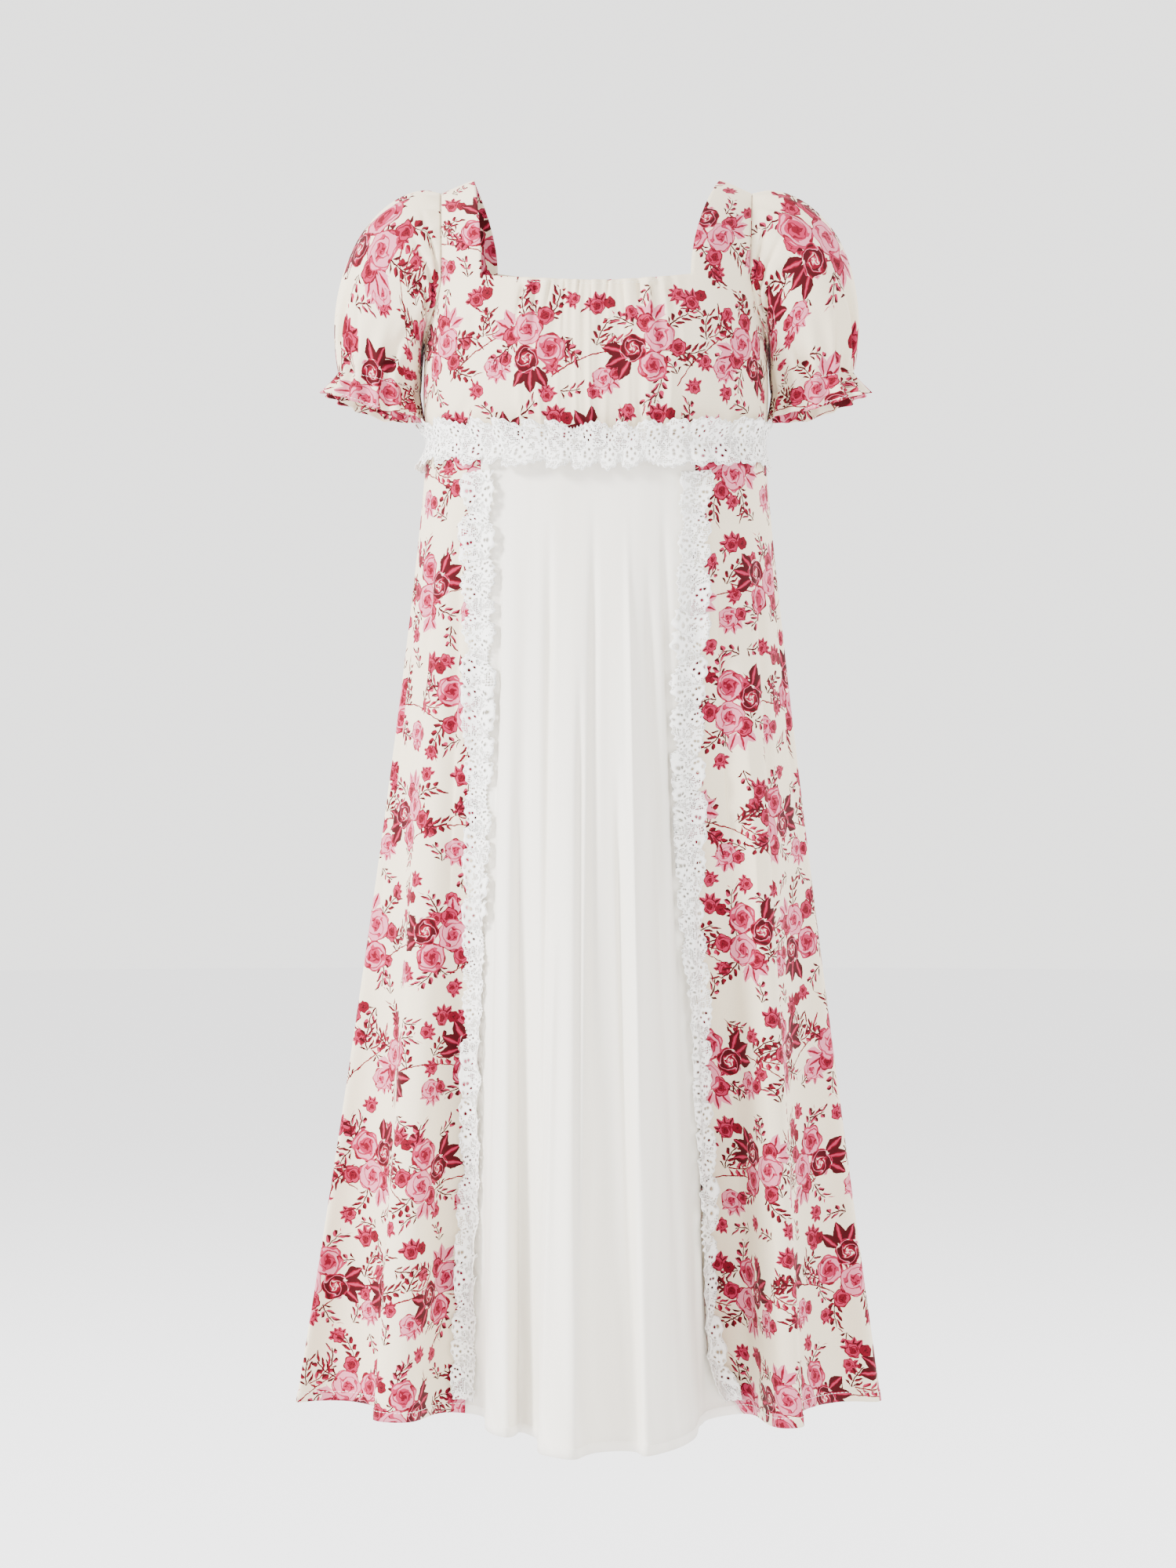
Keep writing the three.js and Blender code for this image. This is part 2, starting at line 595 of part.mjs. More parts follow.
// Lace over the seam between two panels, made from the points of their outermost columns
function panelLace(left, right) {
  const width = (panel) => panel.points.length / (SKIRT_ROWS + 1);
  const column = (panel, fromEnd) => (row) => {
    const index = row * width(panel) + (fromEnd > 0 ? width(panel) - fromEnd : -fromEnd);
    return { point: panel.points[index], normal: panel.normals[index] };
  };
  const strips = [[column(left, 2), column(left, 1)], [column(right, 0), column(right, -1)]];
  return (across, along) => {
    const place = lerp(PANEL_LACE.start, PANEL_LACE.end, along) * SKIRT_ROWS;
    const row = Math.min(SKIRT_ROWS - 1, Math.floor(place));
    const part = place - row;
    const used = [strips[0][across < 0 ? 0 : 1], strips[1][across > 0 ? 1 : 0]];
    const beside = across < 0 ? [used[0]] : used.slice(across > 0 ? 1 : 0);
    const between = (key) => beside.reduce((sum, line) => sum.add(
      line(row)[key].clone().lerp(line(row + 1)[key], part),
    ), new THREE.Vector3()).divideScalar(beside.length);
    // A twisted panel bulges between its rows, so the lace is lifted there
    const twist = Math.max(...strips.map(([a, b]) => (
      a(row).point.clone().sub(b(row).point).add(b(row + 1).point).sub(a(row + 1).point).length()
    )));
    const lift = twist * part * (1 - part);
    const stand = REST + TRIM + lift + PANEL_LACE.stand * edgeWave(along * PANEL_LACE.waves, across);
    return between('point').addScaledVector(between('normal').normalize(), stand);
  };
}

[['lace_left', frontLeft, frontPanel], ['lace_right', frontPanel, frontRight]].forEach(([name, left, right]) => {
  const surface = panelLace(left, right);
  const rows = steps(0, 1, PANEL_LACE.waves * SAMPLES_PER_WAVE);
  const points = rows.flatMap((along) => [-1, 0, 1].map((across) => surface(across, along)));
  const patch = grid(skirtPoint, () => [-1, 0, 1], rows);
  patch.points = points;
  patch.quads.forEach((quad) => quad.reverse());
  patch.normals = points.map((_, i) => {
    const beside = points[i % 3 === 2 ? i - 1 : i + 1];
    const next = points[i + 3 < points.length ? i + 3 : i - 3];
    const normal = beside.clone().sub(points[i]).cross(next.clone().sub(points[i])).normalize();
    return normal.y > 0 ? normal.negate() : normal;
  });
  add(name, wallOn(patch, TRIM), lace);
});

// Zip

// Back of the dress at a height, above or below the waist seam
function backPoint(angle, z) {
  if (z > WAIST_SIDE) return bodyPoint(angle, z);
  return skirtPoint(angle, (z - WAIST_SIDE) / (hemZ(180) - WAIST_SIDE));
}

const TAPE_STRIPS = 14;
const tapeAngle = THREE.MathUtils.radToDeg(TAPE.halfWidth / BODY_ROWS[0].back);
const tape = grid(
  backPoint,
  () => steps(180 - tapeAngle, 180 + tapeAngle, 2),
  steps(TAPE.bottom, TAPE.top, TAPE_STRIPS),
);
tape.points.forEach((p, i) => p.addScaledVector(tape.normals[i], -(CLOTH + REST)));
add('zip_tape', wallOn(tape, TRIM), plain);

// Solid for joining and cutting, from a geometry moved to its place
function solid(geometry, x, y, z) {
  geometry.deleteAttribute('normal');
  geometry.deleteAttribute('uv');
  const merged = mergeVertices(geometry.translate(x, y, z), 1e-4);
  return new wasm.Manifold(new wasm.Mesh({
    numProp: 3,
    vertProperties: new Float32Array(merged.attributes.position.array),
    triVerts: new Uint32Array(merged.index.array),
  }));
}

function geometryOf(manifold) {
  const mesh = manifold.getMesh();
  const geometry = new THREE.BufferGeometry();
  geometry.setAttribute('position', new THREE.BufferAttribute(mesh.vertProperties, 3));
  geometry.setIndex(new THREE.BufferAttribute(mesh.triVerts, 1));
  geometry.computeVertexNormals();
  return geometry;
}

const box = (w, d, h, x, y, z) => solid(new THREE.BoxGeometry(w, d, h), x, y, z);
const bar = (radius, length, x, y, z) => solid(
  new THREE.CylinderGeometry(radius, radius, length, ROUND_SIDES).rotateZ(Math.PI / 2), x, y, z,
);

// The hinge axis is the local X axis, and the cloth lies behind it at -standOff
const standOff = REST + SLIDER.plate + PULL.knuckle + PULL.play;
const cheekX = PULL.neckWidth / 2 + PULL.play + SLIDER.cheek / 2;
const cheekDepth = standOff - REST + SLIDER.cheekReach;

function sliderGeometry() {
  let body = box(SLIDER.width, SLIDER.plate, SLIDER.height, 0, REST + SLIDER.plate / 2 - standOff, 0);
  [-1, 1].forEach((side) => {
    const y = (SLIDER.cheekReach - (standOff - REST)) / 2;
    body = body.add(box(SLIDER.cheek, cheekDepth, 2 * SLIDER.cheekReach, side * cheekX, y, 0));
  });
  return geometryOf(body.add(bar(SLIDER.pin, 2 * cheekX, 0, 0, 0)));
}

function pullGeometry() {
  const neck = PULL.knuckle + SLIDER.cheekReach;
  const body = bar(PULL.knuckle, PULL.neckWidth, 0, 0, 0)
    .add(box(PULL.neckWidth, PULL.thickness, neck, 0, 0, -neck / 2))
    .add(box(PULL.width, PULL.thickness, PULL.length - neck, 0, 0, -(PULL.length + neck) / 2))
    .subtract(bar(SLIDER.pin + PULL.play, PULL.width, 0, 0, 0));
  return geometryOf(body);
}

const zipHead = backPoint(180, SLIDER.z);
const outwards = surfaceNormal(backPoint, 180, SLIDER.z);
[['zip_slider', sliderGeometry()], ['zip_pull', pullGeometry()]].forEach(([name, geometry]) => {
  const piece = add(name, geometry, metal);
  piece.position.copy(zipHead).addScaledVector(outwards, standOff);
  piece.rotation.x = Math.atan2(outwards.z, outwards.y);
});

export default dress;
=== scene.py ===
# %% [markdown]
# # A girl's empire-line dress
# The dress is sewn from a rose-printed cotton, with a plain crepe panel down the front and
# gathered lace along the waist and beside the panel. It hangs as it does when it is worn.
# The frame gives the real sizes, so each piece here is a finer skin on one of its solids.

# %% Load the frame
import json
import math
import bpy
import bmesh
import numpy as np
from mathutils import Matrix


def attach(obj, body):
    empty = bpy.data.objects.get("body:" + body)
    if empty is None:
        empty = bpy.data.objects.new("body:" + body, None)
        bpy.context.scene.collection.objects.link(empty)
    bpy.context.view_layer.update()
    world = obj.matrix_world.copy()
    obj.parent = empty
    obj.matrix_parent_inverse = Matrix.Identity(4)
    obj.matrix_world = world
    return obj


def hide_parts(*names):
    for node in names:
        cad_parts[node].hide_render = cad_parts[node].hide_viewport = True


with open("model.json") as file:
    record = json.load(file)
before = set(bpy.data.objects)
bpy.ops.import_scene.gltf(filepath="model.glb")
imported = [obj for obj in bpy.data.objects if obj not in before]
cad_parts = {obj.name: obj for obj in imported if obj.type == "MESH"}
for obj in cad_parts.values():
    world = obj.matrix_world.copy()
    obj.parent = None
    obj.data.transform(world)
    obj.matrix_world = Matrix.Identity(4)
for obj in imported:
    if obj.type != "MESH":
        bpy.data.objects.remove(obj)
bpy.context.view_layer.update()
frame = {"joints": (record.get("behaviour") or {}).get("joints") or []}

# %% [markdown]
# The camera comes first. The picture was taken from straight in front, level with the middle of
# the dress, and at that distance the whole height of the frame is 1.2 m at the dress.

# %% Camera
CAMERA_PLACE = (-0.006, -2.8, -0.458)
FRAME_HEIGHT = 1.2
SENSOR = 36.0

camera_data = bpy.data.cameras.new("camera")
camera_data.sensor_width = SENSOR
camera_data.lens = SENSOR * -CAMERA_PLACE[1] / FRAME_HEIGHT
camera = bpy.data.objects.new("camera", camera_data)
camera.location = CAMERA_PLACE
camera.rotation_euler = (math.radians(90), 0, 0)
bpy.context.scene.collection.objects.link(camera)
bpy.context.scene.camera = camera
print("lens", round(camera_data.lens, 1), "mm")

# %% [markdown]
# Every material below is a small graph of nodes. One function adds a node, gives it its settings
# and sets or links its inputs, so that a graph reads from top to bottom like a recipe.

# %% Nodes and colours
MM = 0.001


def add(tree, kind, inputs=(), out=0, **settings):
    """Adds a node and returns one output, or all of them where out is None."""
    made = tree.nodes.new("ShaderNode" + kind)
    for key, value in settings.items():
        setattr(made, key, value)
    pairs = inputs.items() if isinstance(inputs, dict) else enumerate(inputs)
    for key, value in pairs:
        if isinstance(value, bpy.types.NodeSocket):
            tree.links.new(value, made.inputs[key])
        else:
            made.inputs[key].default_value = value
    return list(made.outputs) if out is None else made.outputs[out]


def linear(colour, alpha=1.0):
    """An sRGB hex colour as the linear numbers that a shader takes."""
    parts = [int(colour[i:i + 2], 16) / 255 for i in (1, 3, 5)]
    return [p / 12.92 if p <= 0.04045 else ((p + 0.055) / 1.055) ** 2.4 for p in parts] + [alpha]


def material(name, **settings):
    """An empty material with its shader, whose constant values go on the shader's own sockets."""
    made = bpy.data.materials.new(name)
    made.use_nodes = True
    tree = made.node_tree
    shader = tree.nodes["Principled BSDF"]
    for key, value in settings.items():
        shader.inputs[key.replace("_", " ")].default_value = value
    return made, tree, shader


def new_group(name, inputs, outputs):
    """A node group whose sockets are given by name and kind."""
    group = bpy.data.node_groups.new(name, "ShaderNodeTree")
    for label, kind in inputs.items():
        group.interface.new_socket(label, in_out="INPUT", socket_type="NodeSocket" + kind)
    for label, kind in outputs.items():
        group.interface.new_socket(label, in_out="OUTPUT", socket_type="NodeSocket" + kind)
    start = group.nodes.new("NodeGroupInput")
    end = group.nodes.new("NodeGroupOutput")
    return group, start.outputs, end


# %% [markdown]
# The print is block-printed roses on cream. Each motif is a group that draws one flower or one
# sprig round its own middle, in millimetres. It gives back an ink from 0 (bare cloth) to 1
# (the darkest maroon) and a mask that says where the motif covers the cloth.
#
# A rose is a disc with a scalloped edge. A spiral runs out from its heart, and each turn of the
# spiral goes from a dark line to a light petal, as the strokes of the real print do.

# %% Rose
def rose_group():
    group, given, end = new_group(
        "rose", {"Place": "Vector", "Ink": "Float", "Stroke": "Float"}, {"Mask": "Float", "Ink": "Float"})
    x, y, _ = add(group, "SeparateXYZ", [given["Place"]], out=None)
    radius = add(group, "VectorMath", [given["Place"]], out=1, operation="LENGTH")
    angle = add(group, "Math", [y, x], operation="ARCTAN2")
    wave = add(group, "Math", [add(group, "Math", [angle, 6.0], operation="MULTIPLY")], operation="COSINE")
    edge = add(group, "Math", [wave, 0.055, radius], operation="MULTIPLY_ADD")
    mask = add(group, "Math", [edge, 0.97], operation="LESS_THAN")
    spiral = add(group, "Math", [angle, 1 / (2 * math.pi), 0.0], operation="MULTIPLY_ADD")
    spiral = add(group, "Math", [radius, 2.7, spiral], operation="MULTIPLY_ADD")
    petal = add(group, "Math", [angle, 1.5, add(group, "Math", [spiral, 2.2], operation="MULTIPLY")],
                operation="MULTIPLY_ADD")
    petal = add(group, "Math", [add(group, "Math", [petal], operation="SINE")], operation="ABSOLUTE")
    turn = add(group, "Math", [petal, 0.5, spiral], operation="MULTIPLY_ADD")
    turn = add(group, "Math", [turn], operation="FRACT")
    stroke = add(group, "MapRange", [turn, 0.0, 0.42, 1.0, 0.0])
    heart = add(group, "MapRange", [radius, 0.12, 0.5, 0.7, 0.0])
    rim = add(group, "MapRange", [edge, 0.84, 0.95, 0.0, 0.6])
    strokes = add(group, "Math", [stroke, add(group, "Math", [heart, rim], operation="ADD")], operation="ADD")
    tone = add(group, "Math", [strokes, given["Stroke"], given["Ink"]], operation="MULTIPLY_ADD")
    group.links.new(mask, end.inputs[0])
    group.links.new(tone, end.inputs[1])
    return group


# %% [markdown]
# Two kinds of leaves carry the rest of the print. A fan is a bunch of pointed leaves that
# spread from one point, folded out of a single leaf by wrapping the angle. A sprig is a bent
# stem with pairs of small leaflets, folded out of a single leaflet along the stem.

# %% Fan and sprig
def fan_group():
    group, given, end = new_group(
        "fan", {"Place": "Vector", "Ink": "Float", "Spread": "Float", "Vein": "Float"},
        {"Mask": "Float", "Ink": "Float"})
    leaf_angle, leaf_width = 0.62, 0.21
    x, y, _ = add(group, "SeparateXYZ", [given["Place"]], out=None)
    radius = add(group, "VectorMath", [given["Place"]], out=1, operation="LENGTH")
    angle = add(group, "Math", [y, x], operation="ARCTAN2")
    folded = add(group, "Math", [angle, leaf_angle / 2, -leaf_angle / 2], operation="WRAP")
    across = add(group, "Math", [folded], operation="SINE")
    across = add(group, "Math", [across, radius], operation="MULTIPLY")
    across = add(group, "Math", [across], operation="ABSOLUTE")
    along = add(group, "MapRange", [radius, 0.22, 1.0, 0.0, math.pi])
    width = add(group, "Math", [along], operation="SINE")
    width = add(group, "Math", [width, leaf_width], operation="MULTIPLY")
    inside = add(group, "Math", [across, width], operation="LESS_THAN")
    near = add(group, "Math", [add(group, "Math", [angle], operation="ABSOLUTE"), given["Spread"]],
               operation="LESS_THAN")
    mask = add(group, "Math", [inside, near], operation="MULTIPLY")
    share = add(group, "Math", [across, width], operation="DIVIDE")
    vein = add(group, "MapRange", [share, 0.12, 0.36, 1.0, 0.0])
    tone = add(group, "Math", [vein, given["Vein"], given["Ink"]], operation="MULTIPLY_ADD")
    group.links.new(mask, end.inputs[0])
    group.links.new(tone, end.inputs[1])
    return group


def sprig_group():
    group, given, end = new_group(
        "sprig", {"Place": "Vector", "Ink": "Float", "Length": "Float", "Bend": "Float", "Leaf": "Float"},
        {"Mask": "Float", "Ink": "Float"})
    pitch, stem = 5.6, 0.55
    x, y, _ = add(group, "SeparateXYZ", [given["Place"]], out=None)
    square = add(group, "Math", [x, x], operation="MULTIPLY")
    bow = add(group, "Math", [square, given["Bend"]], operation="MULTIPLY")
    off = add(group, "Math", [add(group, "Math", [y, bow], operation="SUBTRACT")], operation="ABSOLUTE")
    slant = add(group, "Math", [off, -0.75, x], operation="MULTIPLY_ADD")
    inside = add(group, "Math", [add(group, "Math", [slant, 0.0], operation="GREATER_THAN"),
                                 add(group, "Math", [slant, given["Length"]], operation="LESS_THAN")],
                 operation="MULTIPLY")
    beside = add(group, "Math", [slant, pitch / 2, -pitch / 2], operation="WRAP")
    reach = add(group, "Math", [off, given["Leaf"]], operation="DIVIDE")
    reach = add(group, "MapRange", [reach, 0.08, 1.0, 0.0, math.pi])
    width = add(group, "Math", [given["Leaf"], 0.31], operation="MULTIPLY")
    width = add(group, "Math", [add(group, "Math", [reach], operation="SINE"), width], operation="MULTIPLY")
    leaf = add(group, "Math", [beside], operation="ABSOLUTE")
    leaf = add(group, "Math", [leaf, width], operation="LESS_THAN")
    line = add(group, "Math", [off, stem], operation="LESS_THAN")
    either = add(group, "Math", [leaf, line], operation="MAXIMUM")
    mask = add(group, "Math", [either, inside], operation="MULTIPLY")
    half = add(group, "Math", [beside, 0.0], operation="GREATER_THAN")
    dark = add(group, "Math", [half, line], operation="MAXIMUM")
    tone = add(group, "Math", [dark, 0.42, given["Ink"]], operation="MULTIPLY_ADD")
    group.links.new(mask, end.inputs[0])
    group.links.new(tone, end.inputs[1])
    return group


MOTIFS = {"rose": rose_group(), "fan": fan_group(), "sprig": sprig_group()}
print("motifs", sorted(MOTIFS))

# %% [markdown]
# The motifs repeat over the cloth as tiles, row by row, each row shifted by half a tile like
# bricks. Each tile is turned and nudged a little, so that no two bunches look the same.

# %% Tiles
def tile_group():
    group, given, end = new_group(
        "tile", {"Place": "Vector", "Size": "Vector", "Shift": "Vector", "Nudge": "Vector", "Turn": "Float"},
        {"Place": "Vector"})
    share = add(group, "VectorMath", [given["Place"], given["Shift"]], operation="ADD")
    share = add(group, "VectorMath", [share, given["Size"]], operation="DIVIDE")
    u, v, _ = add(group, "SeparateXYZ", [share], out=None)
    row = add(group, "Math", [v], operation="FLOOR")
    u = add(group, "Math", [row, 0.5, u], operation="MULTIPLY_ADD")
    column = add(group, "Math", [u], operation="FLOOR")
    u = add(group, "Math", [add(group, "Math", [u], operation="FRACT"), 0.5], operation="SUBTRACT")
    v = add(group, "Math", [add(group, "Math", [v], operation="FRACT"), 0.5], operation="SUBTRACT")
    local = add(group, "VectorMath", [add(group, "CombineXYZ", [u, v]), given["Size"]], operation="MULTIPLY")
    chance, colour = add(group, "TexWhiteNoise", [add(group, "CombineXYZ", [column, row])], out=None,
                         noise_dimensions="2D")
    centred = add(group, "VectorMath", [colour, (0.5, 0.5, 0.5)], operation="SUBTRACT")
    nudged = add(group, "VectorMath", [centred, given["Nudge"]], operation="MULTIPLY")
    local = add(group, "VectorMath", [local, nudged], operation="SUBTRACT")
    turn = add(group, "Math", [chance, given["Turn"]], operation="MULTIPLY")
    local = add(group, "VectorRotate", {0: local, 3: turn}, rotation_type="Z_AXIS")
    group.links.new(local, end.inputs[0])
    return group


TILE = tile_group()

# %% [markdown]
# Three layers of tiles lie on each other. The lowest holds small sprigs and buds that fill the
# ground. Above it come the long thin branches with twin buds, and on top the big bunches of
# roses. Places and sizes are in millimetres on the cloth, and turns are in degrees.

# %% Layout of the print
SPRIG_COLUMNS = ("x", "y", "turn", "ink", "length", "bend", "leaf")
FAN_COLUMNS = ("x", "y", "turn", "size", "ink", "spread", "vein")
ROSE_COLUMNS = ("x", "y", "turn", "size", "ink", "stroke")
LAYERS = [
    {"size": (41, 36, 1), "shift": (9, 12, 0), "nudge": (9, 8, 0), "turn": 6.28, "sprig": [
        (-15, -5, 12, 0.40, 14, 0.03, 5.6),
    ], "fan": [
        (8, 6, 70, 8.5, 0.34, 1.5, 0.5),
    ], "rose": [
        (8, 6, 30, 5.0, 0.34, 0.42),
    ]},
    {"size": (90, 88, 1), "shift": (45, 0, 0), "nudge": (8, 10, 0), "turn": 1.3, "sprig": [
        (-20, -36, 68, 0.30, 72, -0.006, 0.9),
        (-10, -20, 128, 0.50, 17, 0.02, 6.2),
        (2, 4, 20, 0.36, 20, 0.02, 6.4),
        (0, 2, 112, 0.52, 19, -0.02, 6.0),
    ], "fan": [
        (-13, 28, 130, 12, 0.38, 1.4, 0.5),
        (18, -16, -40, 13, 0.14, 1.3, 0.4),
    ], "rose": [
        (-14, 28, 10, 6.2, 0.42, 0.42),
        (-7, 35, 80, 4.8, 0.52, 0.40),
        (16, -17, 40, 8.6, 0.08, 0.46),
        (23, -9, 70, 5.4, 0.40, 0.42),
    ]},
    {"size": (90, 88, 1), "shift": (0, 0, 0), "nudge": (12, 8, 0), "turn": 6.28, "sprig": [
        (-12, 14, 128, 0.50, 22, 0.016, 6.8),
        (6, 15, 62, 0.38, 21, -0.018, 6.8),
        (-20, -4, 190, 0.48, 18, -0.02, 6.4),
        (2, -22, -84, 0.38, 16, 0.02, 6.0),
    ], "fan": [
        (15, -7, -14, 24, 0.84, 0.95, -0.5),
        (-10, -14, -128, 19, 0.10, 1.0, 0.4),
    ], "rose": [
        (-15, 12, 15, 7.2, 0.40, 0.42),
        (10, 10, 70, 12.2, 0.24, 0.36),
        (13, -10, 200, 10.8, 0.86, -0.78),
        (-7, -18, 120, 7.4, 0.40, 0.42),
        (-9, -4, 0, 12.8, 0.08, 0.46),
    ]},
]
INKS = [(0.0, "#EADCC2"), (0.06, "#D07F90"), (0.24, "#A42B4A"), (0.46, "#6E0A1F"), (0.78, "#42070F")]


def print_ink(tree, place):
    """Draws all layers over each other and returns the ink as one number."""
    ink = None
    for layer in LAYERS:
        local = add(tree, "Group", [place, layer["size"], layer["shift"], layer["nudge"], layer["turn"]],
                    node_tree=TILE)
        for kind, columns in (("sprig", SPRIG_COLUMNS), ("fan", FAN_COLUMNS), ("rose", ROSE_COLUMNS)):
            for row in layer[kind]:
                motif = dict(zip(columns, row))
                size = motif.get("size", 1)
                spot = add(tree, "Mapping", [local, (motif["x"], motif["y"], 0),
                                             (0, 0, math.radians(motif["turn"])), (size, size, 1)],
                           vector_type="TEXTURE")
                form = {"sprig": row[3:], "fan": row[4:], "rose": row[4:]}[kind]
                mask, tone = add(tree, "Group", [spot, *form], out=None, node_tree=MOTIFS[kind])
                ink = add(tree, "Mix", {0: mask, 2: ink if ink else 0.0, 3: tone}, data_type="FLOAT")
    return ink


# %% [markdown]
# The cotton is a plain weave, dyed cream before the roses are printed on it. Its threads are
# 0.35 mm apart, too fine to show here, so they are drawn about twice as coarse and faint.
# The ink sinks into the cloth, so it has the same matt roughness as the ground. Inks and ground
# are darker than the cloth looks, because the render's view pales bright tones.

# %% Printed cotton
def weave(tree, place, pitch):
    """Height of a plain weave: warp and weft threads that pass over and under each other."""
    scaled = add(tree, "VectorMath", {0: place, 3: math.pi / pitch}, operation="SCALE")
    u, v, _ = add(tree, "SeparateXYZ", [scaled], out=None)
    warp = add(tree, "Math", [u], operation="SINE")
    weft = add(tree, "Math", [v], operation="SINE")
    return add(tree, "Math", [warp, weft], operation="MULTIPLY")


def cloth_place(tree):
    """The place on the uncut cloth, in millimetres."""
    return add(tree, "VectorMath", {0: add(tree, "UVMap", uv_map="cloth"), 3: 1000.0}, operation="SCALE")


def printed_cotton():
    made, tree, shader = material("printed_cotton_plain_weave", Roughness=0.9, Sheen_Weight=0.03,
                                  Sheen_Roughness=0.5, Specular_IOR_Level=0.12)
    place = cloth_place(tree)
    wobble = add(tree, "TexNoise", {"Vector": place, "Scale": 0.16, "Detail": 2.0}, out=1)
    wobble = add(tree, "VectorMath", [wobble, (0.5, 0.5, 0.5)], operation="SUBTRACT")
    wobble = add(tree, "VectorMath", {0: wobble, 3: 3.2}, operation="SCALE")
    drawn = add(tree, "VectorMath", [place, wobble], operation="ADD")
    ink = print_ink(tree, drawn)
    ramp = tree.nodes.new("ShaderNodeValToRGB")
    ramp.color_ramp.interpolation = "CONSTANT"
    while len(ramp.color_ramp.elements) < len(INKS):
        ramp.color_ramp.elements.new(1.0)
    for element, (start, colour) in zip(ramp.color_ramp.elements, INKS):
        element.position = start
        element.color = linear(colour)
    tree.links.new(ink, ramp.inputs[0])
    mottle = add(tree, "TexNoise", {"Vector": place, "Scale": 0.9, "Detail": 3.0})
    uneven = add(tree, "MapRange", [mottle, 0.3, 0.7, 0.93, 1.0])
    colour = add(tree, "VectorMath", {0: ramp.outputs[0], 3: uneven}, operation="SCALE")
    tree.links.new(colour, shader.inputs["Base Color"])
    threads = weave(tree, place, 0.7)
    height = add(tree, "Math", [mottle, 1.5, threads], operation="MULTIPLY_ADD")
    bump = add(tree, "Bump", {"Strength": 0.12, "Distance": 0.0002, "Height": height})
    tree.links.new(bump, shader.inputs["Normal"])
    return made


COTTON = printed_cotton()
print("printed cotton has", len(COTTON.node_tree.nodes), "nodes")

# %% [markdown]
# The front panel is a smooth ivory crepe with a soft sheen. Crepe is woven from hard-twisted
# yarn that shrinks into a fine pebble, so a small noise takes the place of the weave.

# %% Crepe
def ivory_crepe():
    made, tree, shader = material("ivory_crepe", Roughness=0.62, Sheen_Weight=0.1,
                                  Sheen_Roughness=0.35, Specular_IOR_Level=0.3)
    place = cloth_place(tree)
    # Painted shade: a broad noise, stretched down the panel, mixes two ivories into faint vertical streaks in
    # place of the shade of soft vertical folds.
    stretched = add(tree, "VectorMath", [place, (0.05, 0.0025, 1.0)], operation="MULTIPLY")
    broad = add(tree, "TexNoise", {"Vector": stretched, "Scale": 1.0, "Detail": 2.0})
    blend = add(tree, "MapRange", [broad, 0.3, 0.7, 0.0, 1.0])
    colour = add(tree, "Mix", {0: blend, 6: linear("#E8E3D8"), 7: linear("#F1ECE2")}, out=2, data_type="RGBA")
    tree.links.new(colour, shader.inputs["Base Color"])
    pebble = add(tree, "TexNoise", {"Vector": place, "Scale": 1.3, "Detail": 2.0})
    bump = add(tree, "Bump", {"Strength": 0.14, "Distance": 0.0002, "Height": pebble})
    tree.links.new(bump, shader.inputs["Normal"])
    return made


CREPE = ivory_crepe()

# %% [markdown]
# The lace is knitted nylon: a net of tiny holes, flowers of denser threads with small eyelets
# round their hearts, and a firm edge. The net's holes are 1.3 mm apart. They are cut with the
# shader's alpha, because thousands of holes this small need not be in the mesh.

# %% Lace
LACE_REPEAT = 23.0


